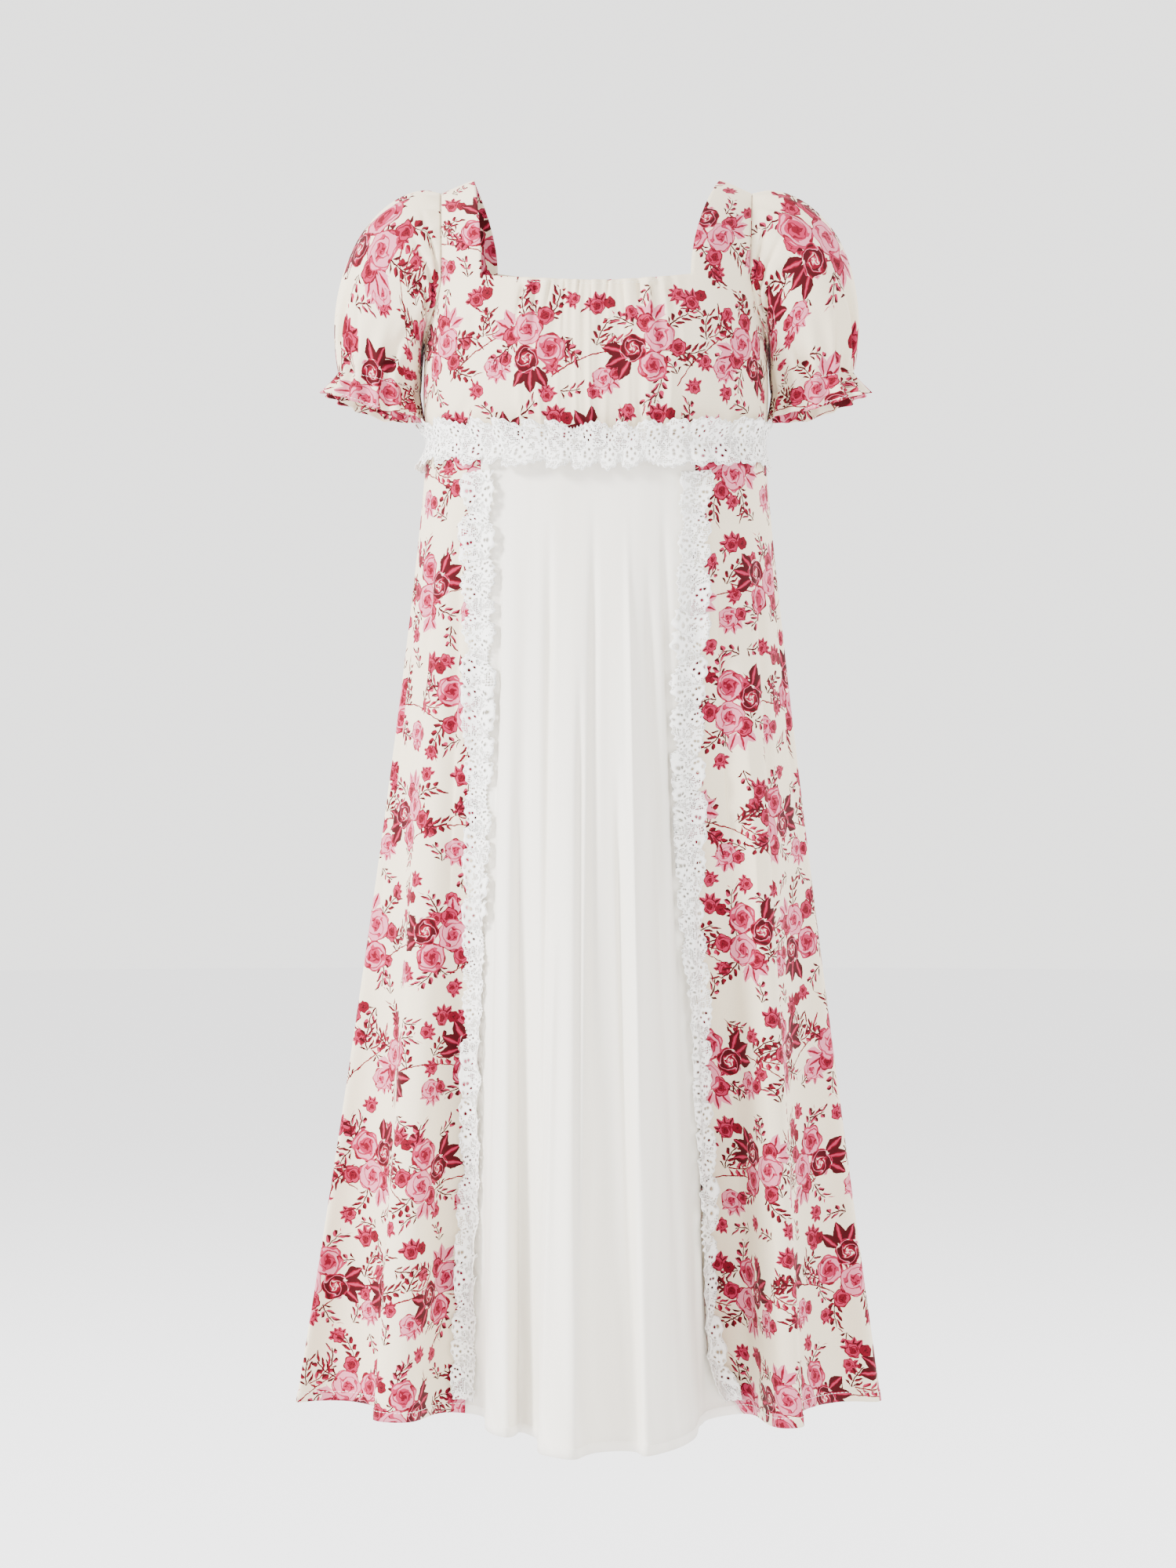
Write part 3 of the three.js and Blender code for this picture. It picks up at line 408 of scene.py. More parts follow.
def gathered_lace():
    made, tree, shader = material("white_nylon_lace", Roughness=0.7, Sheen_Weight=0.15,
                                  Specular_IOR_Level=0.3)
    place = cloth_place(tree)
    u, v, _ = add(tree, "SeparateXYZ", [place], out=None)
    across = add(tree, "Math", [v], operation="ABSOLUTE")
    folded = add(tree, "Math", [u, LACE_REPEAT / 2, -LACE_REPEAT / 2], operation="WRAP")
    middle = add(tree, "Math", [across, 7.0], operation="SUBTRACT")
    flower = add(tree, "CombineXYZ", [folded, middle])
    radius = add(tree, "VectorMath", [flower], out=1, operation="LENGTH")
    angle = add(tree, "Math", [middle, folded], operation="ARCTAN2")
    eyelets = add(tree, "Math", [angle, 0.7, -0.7], operation="WRAP")
    side = add(tree, "Math", [eyelets, 3.6], operation="MULTIPLY")
    ring = add(tree, "Math", [radius, 3.6], operation="SUBTRACT")
    spot = add(tree, "VectorMath", [add(tree, "CombineXYZ", [side, ring])], out=1, operation="LENGTH")
    eyelet = add(tree, "Math", [spot, 0.95], operation="LESS_THAN")
    petals = add(tree, "Math", [add(tree, "Math", [angle, 4.5], operation="MULTIPLY")], operation="COSINE")
    petals = add(tree, "Math", [petals, 1.2, 6.6], operation="MULTIPLY_ADD")
    solid = add(tree, "Math", [radius, petals], operation="LESS_THAN")
    vines = add(tree, "TexNoise", {"Vector": place, "Scale": 0.17, "Detail": 1.0})
    vines = add(tree, "Math", [add(tree, "Math", [vines, 0.5], operation="SUBTRACT")], operation="ABSOLUTE")
    vines = add(tree, "Math", [vines, 0.045], operation="LESS_THAN")
    dense = add(tree, "Math", [solid, vines], operation="MAXIMUM")
    net = add(tree, "TexVoronoi", {"Vector": place, "Scale": 0.78, "Randomness": 0.35},
              voronoi_dimensions="2D")
    hole = add(tree, "Math", [net, 0.36], operation="LESS_THAN")
    bare = add(tree, "Math", [1.0, dense], operation="SUBTRACT")
    hole = add(tree, "Math", [hole, bare], operation="MULTIPLY")
    hole = add(tree, "Math", [hole, eyelet], operation="MAXIMUM")
    attribute = add(tree, "Attribute", attribute_name="border", out=2)
    hole = add(tree, "Math", [hole, attribute], operation="MULTIPLY")
    alpha = add(tree, "Math", [1.0, hole], operation="SUBTRACT")
    tree.links.new(alpha, shader.inputs["Alpha"])
    # Painted shade: round each eyelet and round each hole of the net, the lace's colour is mixed towards grey
    # in place of the shadow at the threads' edges.
    rim = add(tree, "MapRange", [spot, 0.95, 1.9, 0.75, 0.0])
    rim = add(tree, "Math", [rim, attribute], operation="MULTIPLY")
    mesh_shade = add(tree, "MapRange", [net, 0.36, 0.62, 0.5, 0.0])
    mesh_shade = add(tree, "Math", [mesh_shade, bare], operation="MULTIPLY")
    shade = add(tree, "Math", [rim, mesh_shade], operation="MAXIMUM")
    colour = add(tree, "Mix", {0: shade, 6: linear("#FDFCF8"), 7: linear("#A9A49C")}, out=2, data_type="RGBA")
    tree.links.new(colour, shader.inputs["Base Color"])
    threads = add(tree, "Math", [dense, 0.8, net], operation="MULTIPLY_ADD")
    bump = add(tree, "Bump", {"Strength": 0.5, "Distance": 0.0004, "Height": threads})
    tree.links.new(bump, shader.inputs["Normal"])
    return made


LACE = gathered_lace()

# %% [markdown]
# The small finishes are sewing thread, the zip's woven tape and its enamelled metal. The enamel
# is smooth with a faint orange-peel, and the thread has the twist of two plies.

# %% Thread, tape and enamel
def twisted_thread(name, colour):
    made, tree, shader = material(name, Roughness=0.6, Sheen_Weight=0.2)
    place = add(tree, "TexCoord", out=3)
    noise = add(tree, "TexNoise", {"Vector": place, "Scale": 2500.0, "Detail": 1.0})
    mixed = add(tree, "Mix", {0: noise, 6: linear(colour), 7: linear("#FFFFFF")}, out=2, data_type="RGBA")
    tree.links.new(mixed, shader.inputs["Base Color"])
    bump = add(tree, "Bump", {"Strength": 0.4, "Distance": 0.0001, "Height": noise})
    tree.links.new(bump, shader.inputs["Normal"])
    return made


def woven_tape():
    made, tree, shader = material("woven_polyester_tape", Roughness=0.75, Sheen_Weight=0.15)
    place = cloth_place(tree)
    threads = weave(tree, place, 0.6)
    blend = add(tree, "MapRange", [threads, -1.0, 1.0, 0.0, 1.0])
    colour = add(tree, "Mix", {0: blend, 6: linear("#E9E3D4"), 7: linear("#F5F1E6")}, out=2, data_type="RGBA")
    tree.links.new(colour, shader.inputs["Base Color"])
    bump = add(tree, "Bump", {"Strength": 0.4, "Distance": 0.0002, "Height": threads})
    tree.links.new(bump, shader.inputs["Normal"])
    return made


def enamelled_zinc():
    made, tree, shader = material("enamelled_zinc", Roughness=0.32, Coat_Weight=0.4, Coat_Roughness=0.15)
    place = add(tree, "TexCoord", out=3)
    noise = add(tree, "TexNoise", {"Vector": place, "Scale": 900.0, "Detail": 2.0})
    colour = add(tree, "Mix", {0: noise, 6: linear("#E4DCCB"), 7: linear("#F1EBDD")}, out=2, data_type="RGBA")
    tree.links.new(colour, shader.inputs["Base Color"])
    bump = add(tree, "Bump", {"Strength": 0.15, "Distance": 0.0001, "Height": noise})
    tree.links.new(bump, shader.inputs["Normal"])
    return made


THREAD = twisted_thread("cream_cotton_thread", "#E9E2D2")
TAPE_CLOTH = woven_tape()
ENAMEL = enamelled_zinc()
print("materials", [m.name for m in bpy.data.materials])

# %% [markdown]
# Cloth is built from grids of points. A few helpers bend, blend and measure such grids: a
# smooth step, a curve through the rows of a table, and the outward normals of a grid.

# %% Curves and normals
def smooth(value):
    value = np.clip(value, 0, 1)
    return value * value * (3 - 2 * value)


def lerp(a, b, share):
    return a + (b - a) * share


def hermite(a, b, slope_a, slope_b, s):
    return (a * (2 * s**3 - 3 * s**2 + 1) + b * (3 * s**2 - 2 * s**3)
            + slope_a * (s**3 - 2 * s**2 + s) + slope_b * (s**3 - s**2))


def from_rows(rows, key, at, column):
    """Value of one column of a table between its rows, as a smooth curve."""
    keys = np.array([row[key] for row in rows], float)
    values = np.array([row[column] for row in rows], float)
    last = len(rows) - 1
    below, above = np.maximum(np.arange(last + 1) - 1, 0), np.minimum(np.arange(last + 1) + 1, last)
    slopes = (values[above] - values[below]) / (keys[above] - keys[below])
    i = np.clip(np.searchsorted(keys, at, side="right") - 1, 0, last - 1)
    span = keys[i + 1] - keys[i]
    s = np.clip((at - keys[i]) / span, 0, 1)
    return hermite(values[i], values[i + 1], slopes[i] * span, slopes[i + 1] * span, s)


def grid_normals(points, axis=(0, 0)):
    """Outward normals of a grid of points that stands round a vertical axis."""
    down = np.gradient(points, axis=0)
    along = np.gradient(points, axis=1)
    normals = np.cross(along, down)
    normals /= np.maximum(np.linalg.norm(normals, axis=2, keepdims=True), 1e-9)
    away = points[..., :2] - np.array(axis)
    if np.sum(normals[..., 0] * away[..., 0] + normals[..., 1] * away[..., 1]) < 0:
        normals = -normals
    return normals


def lengths(points, axis):
    """Distance walked along a grid's rows or columns, from its first point."""
    steps = np.linalg.norm(np.diff(points, axis=axis), axis=2)
    start = np.zeros_like(steps[:, :1] if axis == 1 else steps[:1])
    return np.concatenate([start, np.cumsum(steps, axis=axis)], axis=axis)


# %% [markdown]
# A cloth piece is one mesh made of one or more grids, joined where their edges meet. Its UV
# map holds the place of each point on the uncut cloth, so the print follows the cloth and not
# the room. Solidify then gives the sheet its thickness, inwards, so the outside stays put.

# %% Cloth pieces
CLOTH = 0.7
TRIM = 0.35
declared = []


def flat_area(flat):
    """Area of a grid on the uncut cloth, in square metres."""
    a, b = flat[:-1, :-1], flat[:-1, 1:]
    c, d = flat[1:, 1:], flat[1:, :-1]
    one, two = c - a, d - b
    return float(np.abs(one[..., 0] * two[..., 1] - one[..., 1] * two[..., 0]).sum() / 2 * MM * MM)


def cloth_piece(name, patches, finish, wall=CLOTH, axis=(0, 0), held="hung", fullness=1.0, border=None):
    corners, faces, places, base = [], [], [], 0
    for points, flat in patches:
        rows, columns = points.shape[:2]
        index = np.arange(rows * columns).reshape(rows, columns) + base
        quads = np.stack([index[:-1, :-1], index[:-1, 1:], index[1:, 1:], index[1:, :-1]], axis=-1)
        corners.append(points.reshape(-1, 3) * MM)
        places.append(flat.reshape(-1, 2) * MM)
        faces.append(quads.reshape(-1, 4))
        base += rows * columns
    corners, places, faces = (np.concatenate(part) for part in (corners, places, faces))
    mesh = bpy.data.meshes.new(name + "_cloth")
    mesh.from_pydata(corners.tolist(), [], faces.tolist())
    mesh.uv_layers.new(name="cloth").data.foreach_set("uv", places[faces.reshape(-1)].reshape(-1))
    if border is not None:
        mesh.attributes.new("border", "FLOAT", "POINT").data.foreach_set("value", border.reshape(-1))
    shell = bmesh.new()
    shell.from_mesh(mesh)
    bmesh.ops.remove_doubles(shell, verts=shell.verts, dist=0.004 * MM)
    bmesh.ops.recalc_face_normals(shell, faces=shell.faces)
    outward = sum((face.normal.x * (face.calc_center_median().x - axis[0] * MM)
                   + face.normal.y * (face.calc_center_median().y - axis[1] * MM)) * face.calc_area()
                  for face in shell.faces)
    if outward < 0:
        bmesh.ops.reverse_faces(shell, faces=shell.faces)
    for face in shell.faces:
        face.smooth = True
    shell.to_mesh(mesh)
    shell.free()
    piece = bpy.data.objects.new(name + "_cloth", mesh)
    bpy.context.scene.collection.objects.link(piece)
    mesh.materials.append(finish)
    wall_modifier = piece.modifiers.new("wall", "SOLIDIFY")
    wall_modifier.thickness = wall * MM
    wall_modifier.offset = -1
    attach(piece, "dress")
    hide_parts(name)
    width, height = ((max(flat[..., n].max() for _, flat in patches)
                      - min(flat[..., n].min() for _, flat in patches)) * MM for n in (0, 1))
    area = sum(flat_area(flat) for _, flat in patches) * fullness
    declared.append({"piece": piece, "flat": (float(width * fullness), float(height)),
                     "held": held, "area": area})
    print(name, len(mesh.polygons), "quads, cut", round(width * fullness, 3), "x", round(height, 3), "m")
    return piece


# %% [markdown]
# Sewing shows as rows of short stitches, each a small six-sided bar along the row. All the
# stitches of one piece are joined in a single mesh that lies on the cloth.

# %% Stitches
STITCH = {"length": 2.2, "gap": 0.9, "radius": 0.22, "lift": 0.6}


def small_parts(name, corners, faces, finish):
    """One mesh of many small closed bars or blocks, which rides with the dress."""
    mesh = bpy.data.meshes.new(name)
    mesh.from_pydata((np.array(corners) * MM).tolist(), [], faces)
    shell = bmesh.new()
    shell.from_mesh(mesh)
    bmesh.ops.recalc_face_normals(shell, faces=shell.faces)
    shell.to_mesh(mesh)
    shell.free()
    piece = bpy.data.objects.new(name, mesh)
    bpy.context.scene.collection.objects.link(piece)
    mesh.materials.append(finish)
    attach(piece, "dress")
    print(name, len(faces), "faces")
    return piece


def stitch_rows(name, rows):
    corners, faces = [], []
    for points, normals in rows:
        walked = np.concatenate([[0], np.cumsum(np.linalg.norm(np.diff(points, axis=0), axis=1))])
        count = int(walked[-1] / (STITCH["length"] + STITCH["gap"]))
        for k in range(count):
            ends = (k + np.array([0.15, 0.85])) * walked[-1] / count
            a, b = (np.array([np.interp(at, walked, points[:, n]) for n in range(3)]) for at in ends)
            up = np.array([np.interp(ends[0], walked, normals[:, n]) for n in range(3)])
            across = np.cross(b - a, up)
            across /= max(np.linalg.norm(across), 1e-9)
            lift = up * STITCH["radius"] * STITCH["lift"]
            base = len(corners)
            for end, size in ((a, 0.45), (lerp(a, b, 0.25), 1.0), (lerp(a, b, 0.75), 1.0), (b, 0.45)):
                for turn in np.radians([0, 90, 180, 270]):
                    ray = across * math.cos(turn) + up * math.sin(turn)
                    corners.append(end + lift + ray * STITCH["radius"] * size)
            for ring in range(3):
                for n in range(4):
                    low, next_low = base + 4 * ring + n, base + 4 * ring + (n + 1) % 4
                    faces.append((low, next_low, next_low + 4, low + 4))
            faces.append((base + 3, base + 2, base + 1, base))
            faces.append((base + 12, base + 13, base + 14, base + 15))
    return small_parts(name, corners, faces, THREAD)


# %% [markdown]
# The body of the dress is a squared ellipse at each height, as a worn bodice is: flatter in
# front and behind than an ellipse. Angles are seen from above, with 0 at the centre front.

# %% Bodice form
SQUARENESS = 2.35
BODY_ROWS = [
    {"z": -210, "side": 127, "front": 88, "back": 84},
    {"z": -172, "side": 131.5, "front": 97, "back": 88},
    {"z": -130, "side": 131, "front": 96, "back": 88},
    {"z": -80, "side": 129, "front": 86, "back": 84},
    {"z": -40, "side": 126, "front": 76, "back": 78},
]
WAIST_SIDE, WAIST_DIP = -198, 9
NECK_FRONT = {"z": -84, "sag": 6}
NECK_BACK = {"z": -62, "sag": 4}
UNDERARM_Z = -120
SEAM = 0.3


def reach(angle, side, front, back, power):
    a = np.radians(angle)
    depth = np.where(np.cos(a) > 0, front, back)
    total = (np.abs(np.sin(a)) / side) ** power + (np.abs(np.cos(a)) / depth) ** power
    return total ** (-1 / power)


def at_angle(angle, radius, z):
    a = np.radians(angle)
    return np.stack(np.broadcast_arrays(radius * np.sin(a), -radius * np.cos(a), z), axis=-1)


def frontness(angle):
    return np.maximum(0, np.cos(np.radians(angle))) ** 2


def waist_z(angle):
    return WAIST_SIDE - WAIST_DIP * frontness(angle)


def plain_body(angle, z):
    row = {column: from_rows(BODY_ROWS, "z", z, column) for column in ("side", "front", "back")}
    return at_angle(angle, reach(angle, row["side"], row["front"], row["back"], SQUARENESS), z)


# %% [markdown]
# The bust is gathered into the neckline and again into the waist seam. Real gathers are never
# even, so their spacing is bent by slow waves, and each ridge fades at its own height. They
# are made 1.9 times as deep as in the frame, because at that depth they looked flat.

# %% Gathers of the bodice
GATHERS = 11
GATHER_DEPTH = 3.4
SHOWN_DEPTH = GATHER_DEPTH * 1.9
GATHER_ANGLE = 42


def gather(angle, z):
    across = angle / GATHER_ANGLE
    inside = np.abs(across) < 1
    edge = smooth((1 - np.abs(across)) * 3) * inside
    height = np.clip((z - waist_z(0)) / (NECK_FRONT["z"] - waist_z(0)), 0, 1)
    bent = across + 0.030 * np.sin(5.3 * across + 1.1) + 0.016 * np.sin(13.0 * across + 4 * height)
    strength = 0.78 + 0.30 * np.sin(7.9 * across + 0.4) * np.cos(3.1 * across + 2.2)
    middle = 0.74 + 0.16 * np.sin(9.4 * across + 2.0)
    hold = lerp(middle, 1.0, (2 * height - 1) ** 2)
    ridge = 0.5 - 0.5 * np.cos(math.pi * GATHERS * (bent + 1))
    fold = np.mod(GATHERS * (bent + 1) / 2 + 0.5, 1)
    crisp = np.where(fold < 0.72, fold / 0.72, (1 - fold) / 0.28)
    shape = lerp(ridge, smooth(crisp), 0.6 - 0.3 * height)
    return SHOWN_DEPTH * edge * hold * strength * shape


def body_point(angle, z):
    points = plain_body(angle, z)
    return points + at_angle(angle, 1.0, 0.0) * gather(angle, z)[..., None]


# %% [markdown]
# Creases that no gather makes are pressed in one by one: each row of a table gives a line on the
# uncut cloth, from where the crease is deepest to where it fades out, with its width and depth.
# A gather is a wave that repeats, but a crease starts at one place that holds the cloth and
# runs out, so a line that fades is the plainest way to make it.

# %% Creases
def press(points, flat, creases, axis=(0, 0), strength=1.0):
    """Moves a grid in along its normals beside each crease line. A negative depth makes a ridge."""
    push = np.zeros(points.shape[:2])
    for crease in creases:
        start, end = (np.array(crease[key], float) for key in ("start", "end"))
        line = end - start
        along = ((flat - start) @ line) / (line @ line)
        nearest = start + np.clip(along, 0, 1)[..., None] * line
        distance = np.linalg.norm(flat - nearest, axis=-1)
        fade = 1 - smooth(along)
        push += strength * crease["depth"] * fade * np.exp(-(distance / crease["width"]) ** 2)
    return points - grid_normals(points, axis) * push[..., None]


# %% [markdown]
# The front of the bodice runs between the side seams, and its two straps grow out of its top
# edge and bend over to the shoulder seams. The back is cut in two, with the zip between.

# %% Straps and armholes
STRAPS = {
    -1: {"corner": 51, "arm": 69, "top_in": 93, "top_out": 118},
    1: {"corner": 43, "arm": 69, "top_in": 96, "top_out": 119},
}
BACK_CORNER, BACK_ARM = 132, 111
SHOULDER = {"y": 3, "z_in": 4, "z_out": -6}
FRONT_BASE = NECK_FRONT["z"] + NECK_FRONT["sag"]
BACK_BASE = NECK_BACK["z"] + NECK_BACK["sag"]


def armhole_z(angle, arm, base):
    across = np.clip((90 - np.abs(angle)) / (90 - arm), 0, 1)
    return base - (base - UNDERARM_Z) * np.sqrt(1 - across ** 2)


def neck_z(angle, corner, neck):
    return neck["z"] + neck["sag"] * (angle / corner) ** 2


def strap_point(side, is_back, across, up):
    strap = STRAPS[side]
    corner = BACK_CORNER if is_back else strap["corner"]
    arm = BACK_ARM if is_back else strap["arm"]
    base_z = BACK_BASE if is_back else FRONT_BASE
    base = body_point(side * lerp(corner, arm, across), base_z + 0 * across)
    top_x = side * lerp(strap["top_in"], strap["top_out"], across)
    top_z = lerp(SHOULDER["z_in"], SHOULDER["z_out"], across)
    seam_y = SHOULDER["y"] + (SEAM / 2 if is_back else -SEAM / 2)
    bend = np.radians(90 * up)
    return np.stack(np.broadcast_arrays(
        lerp(base[..., 0], top_x, smooth(up)),
        seam_y + (base[..., 1] - seam_y) * np.cos(bend),
        base_z + (top_z - base_z) * np.sin(bend)), axis=-1)


# %% [markdown]
# A row of the table is one soft crease on the front or the back of the bodice. The short ones
# under the neckline are the pinched ends of the gathers.

# %% Bodice pieces
BODY_STRIPS, STRAP_STRIPS, STRAP_COLUMNS = 84, 44, 16
BODICE_STRENGTH = 2.1
QUARTER_ROUND = 150.0
BODICE_CREASES = [
    {"start": (-62, -88), "end": (-66, -122), "width": 1.6, "depth": 1.3},
    {"start": (-51, -88), "end": (-49, -140), "width": 1.9, "depth": 1.2},
    {"start": (-38, -86), "end": (-41, -116), "width": 1.4, "depth": 1.3},
    {"start": (-27, -86), "end": (-26, -150), "width": 2.0, "depth": 1.2},
    {"start": (-14, -85), "end": (-17, -112), "width": 1.4, "depth": 1.4},
    {"start": (-5, -85), "end": (-3, -132), "width": 1.8, "depth": 1.1},
    {"start": (9, -85), "end": (6, -118), "width": 1.4, "depth": 1.4},
    {"start": (20, -86), "end": (24, -146), "width": 2.0, "depth": 1.3},
    {"start": (33, -86), "end": (34, -114), "width": 1.4, "depth": 1.2},
    {"start": (44, -88), "end": (50, -150), "width": 1.9, "depth": 1.4},
    {"start": (58, -90), "end": (60, -124), "width": 1.5, "depth": 1.2},
    {"start": (-70, -206), "end": (-58, -168), "width": 2.6, "depth": 1.3},
    {"start": (-30, -207), "end": (-33, -170), "width": 2.2, "depth": 1.1},
    {"start": (2, -207), "end": (-2, -176), "width": 2.4, "depth": 1.2},
    {"start": (36, -207), "end": (30, -160), "width": 2.2, "depth": 1.3},
    {"start": (72, -205), "end": (62, -158), "width": 2.8, "depth": 1.4},
    {"start": (-118, -190), "end": (-84, -150), "width": 6, "depth": 1.4},
    {"start": (122, -188), "end": (88, -144), "width": 6, "depth": 1.6},
    {"start": (104, -112), "end": (86, -150), "width": 4.5, "depth": 1.3},
    {"start": (-102, -112), "end": (-88, -146), "width": 4.5, "depth": 1.1},
]
BACK_CREASES = [
    {"start": (160, -186), "end": (206, -150), "width": 7, "depth": 1.3},
    {"start": (168, -112), "end": (200, -142), "width": 5, "depth": 1.1},
    {"start": (252, -190), "end": (244, -120), "width": 5, "depth": 1.0},
    {"start": (216, -194), "end": (224, -160), "width": 4, "depth": 1.1},
]


def body_flat(points, angles):
    """Place on the uncut cloth: distance round the body from the centre front, and height."""
    middle = np.argmin(np.abs(angles))
    walked = lengths(points, 1)
    start = walked[:, middle:middle + 1] if angles[0] * angles[-1] < 0 else 0
    round_body = walked - start
    if angles[0] * angles[-1] > 0:
        if angles[0] > 0:
            round_body = round_body + QUARTER_ROUND
        else:
            round_body = round_body - walked[:, -1:] - QUARTER_ROUND
    return np.stack([round_body, points[..., 2]], axis=-1)


def body_patch(angles, top_z, creases):
    share = np.linspace(0, 1, BODY_STRIPS)[:, None]
    bottom = waist_z(angles) + SEAM
    z = lerp(bottom, top_z(angles), share)
    points = body_point(np.broadcast_to(angles, z.shape), z)
    flat = body_flat(points, angles)
    return press(points, flat, creases, strength=BODICE_STRENGTH), flat


def strap_patch(side, is_back, body, angles):
    """Strap whose lower edge is the stretch of the body's top edge between its two angles."""
    strap = STRAPS[side]
    corner = BACK_CORNER if is_back else strap["corner"]
    arm = BACK_ARM if is_back else strap["arm"]
    on_edge = (np.abs(angles) >= min(corner, arm) - 1e-6) & (np.abs(angles) <= max(corner, arm) + 1e-6)
    across = (np.abs(angles[on_edge]) - corner) / (arm - corner)
    up = np.linspace(0, 1, STRAP_STRIPS)[:, None]
    points = strap_point(side, is_back, across[None, :], up)
    body_points, body_flats = body
    shift = (body_points[-1][on_edge] - points[0])[None] * (1 - smooth(up * 2.5))[..., None]
    points = points + shift
    climbed = lengths(points, 0)
    start = body_flats[-1][on_edge]
    width = lengths(points, 1)
    middle = width.shape[1] // 2
    u = start[middle, 0] + width - width[:, middle:middle + 1]
    u = lerp(np.broadcast_to(start[:, 0], u.shape), u, smooth(up * 2))
    return points, np.stack([u, start[:, 1] + climbed], axis=-1)


def front_angles():
    left, right = STRAPS[-1], STRAPS[1]
    edge = 90 - math.degrees(SEAM / 2 / BODY_ROWS[0]["side"])
    parts = [(-edge, -left["arm"], 14), (-left["arm"], -left["corner"], STRAP_COLUMNS),
             (-left["corner"], right["corner"], 200), (right["corner"], right["arm"], STRAP_COLUMNS),
             (right["arm"], edge, 15)]
    return np.concatenate([np.linspace(a, b, n, endpoint=False) for a, b, n in parts] + [[edge]])


def front_top(angle):
    strap_corner = np.where(angle < 0, STRAPS[-1]["corner"], STRAPS[1]["corner"])
    strap_arm = np.where(angle < 0, STRAPS[-1]["arm"], STRAPS[1]["arm"])
    size = np.abs(angle)
    return np.where(size <= strap_corner, neck_z(angle, strap_corner, NECK_FRONT),
                    np.where(size <= strap_arm, FRONT_BASE, armhole_z(angle, strap_arm, FRONT_BASE)))


def back_top(angle):
    size = np.abs(angle)
    return np.where(size >= BACK_CORNER, neck_z(180 - size, 180 - BACK_CORNER, NECK_BACK),
                    np.where(size >= BACK_ARM, BACK_BASE, armhole_z(180 - size, 180 - BACK_ARM, BACK_BASE)))


def back_angles(side):
    edge = math.degrees(SEAM / 2 / BODY_ROWS[0]["side"])
    parts = [(90 + edge, BACK_ARM, 22), (BACK_ARM, BACK_CORNER, STRAP_COLUMNS), (BACK_CORNER, 180 - edge, 44)]
    sizes = np.concatenate([np.linspace(a, b, n, endpoint=False) for a, b, n in parts] + [[180 - edge]])
    return sizes if side > 0 else -sizes[::-1]


angles = front_angles()
front_body = body_patch(angles, front_top, BODICE_CREASES)
front_patches = [front_body]
for side in (-1, 1):
    chosen = angles * side > 0
    body = tuple(part[:, chosen] for part in front_body)
    front_patches.append(strap_patch(side, False, body, angles[chosen]))
cloth_piece("bodice_front", front_patches, COTTON, held="gathered", fullness=1.15)

neck_rows = [(front_body[0][-3][60:-60], grid_normals(front_body[0])[-3][60:-60])]
for name, side in (("bodice_back_left", -1), ("bodice_back_right", 1)):
    angles = back_angles(side)
    mirrored = [{**crease, **{key: (crease[key][0] * side, crease[key][1]) for key in ("start", "end")}}
                for crease in BACK_CREASES]
    back_body = body_patch(angles, back_top, mirrored)
    cloth_piece(name, [back_body, strap_patch(side, True, back_body, angles)], COTTON)

# %% [markdown]
# The skirt is cut in five gored panels. Its section is smooth at the waist and grows into deep
# round folds at the hem. A short table gives each crest and valley: its angle at the waist and
# its place at the hem, in millimetres.

# %% Skirt form
HEM_SIDE, HEM_DIP, HEM_BACK_DIP = -931, 10, 4
HEM_BASE = {"side": 195, "front": 125, "back": 120}
FOLDS_FROM, FOLD_GROWTH, FOLD_ROUNDNESS = 0.05, 1.5, 2.5
FOLD_COLUMNS = ("waist", "x", "y")
FOLDS = [dict(zip(FOLD_COLUMNS, row)) for row in (
    (-90, -229, 5), (-76, -176, -4), (-63, -154, -78), (-49, -99, -24), (-37, -72, -110),
    (-29, -52, -92), (-12, -29, -180), (3, 12, -152), (18, 49, -162), (44, 102, -26),
    (62, 145, -102), (76, 165, -18), (90, 219, 10), (103, 172, 42), (116, 183, 102),
    (129, 128, 84), (142, 116, 158), (154, 72, 116), (166, 44, 172), (178, 4, 128),
    (190, -36, 176), (202, -66, 120), (215, -104, 164), (228, -124, 88), (242, -176, 116),
    (256, -168, 48))]
PANEL_SEAMS = [
    {"down": 0, "left": -49.5, "right": 43.5},
    {"down": 0.35, "left": -46.5, "right": 36},
    {"down": 0.7, "left": -47.5, "right": 38},
    {"down": 0.93, "left": -49, "right": 40},
    {"down": 1, "left": -49, "right": 46},
]


def hem_line(angle):
    """Place of the hem seen from above, as a smooth closed line through the crests and valleys."""
    count = len(FOLDS)
    table = {key: np.array([f[key] for f in FOLDS], float) for key in FOLD_COLUMNS}
    ring = {key: np.concatenate([table[key][-1:], table[key], table[key][:2]]) for key in FOLD_COLUMNS}
    ring["waist"][0] -= 360
    ring["waist"][-2:] += 360
    turned = np.mod(angle - ring["waist"][1], 360) + ring["waist"][1]
    i = np.clip(np.searchsorted(ring["waist"], turned, side="right") - 1, 1, count)
    span = ring["waist"][i + 1] - ring["waist"][i]
    s = (turned - ring["waist"][i]) / span

    def at(key):
        slope_a = FOLD_ROUNDNESS * (ring[key][i + 1] - ring[key][i - 1]) * span
        slope_b = FOLD_ROUNDNESS * (ring[key][i + 2] - ring[key][i]) * span
        slope_a = slope_a / (ring["waist"][i + 1] - ring["waist"][i - 1])
        slope_b = slope_b / (ring["waist"][i + 2] - ring["waist"][i])
        return hermite(ring[key][i], ring[key][i + 1], slope_a, slope_b, s)

    return at("x"), at("y")


def hem_z(angle):
    return HEM_SIDE - HEM_DIP * frontness(angle) - HEM_BACK_DIP * frontness(angle + 180)


# %% [markdown]
# Between the big folds the cloth has lighter ones. Each row of this table is a soft trough that
# hangs down the skirt: its angle, where it starts and ends from waist (0) to hem (1), its width
# in degrees and its depth in millimetres. Negative depths are ridges.

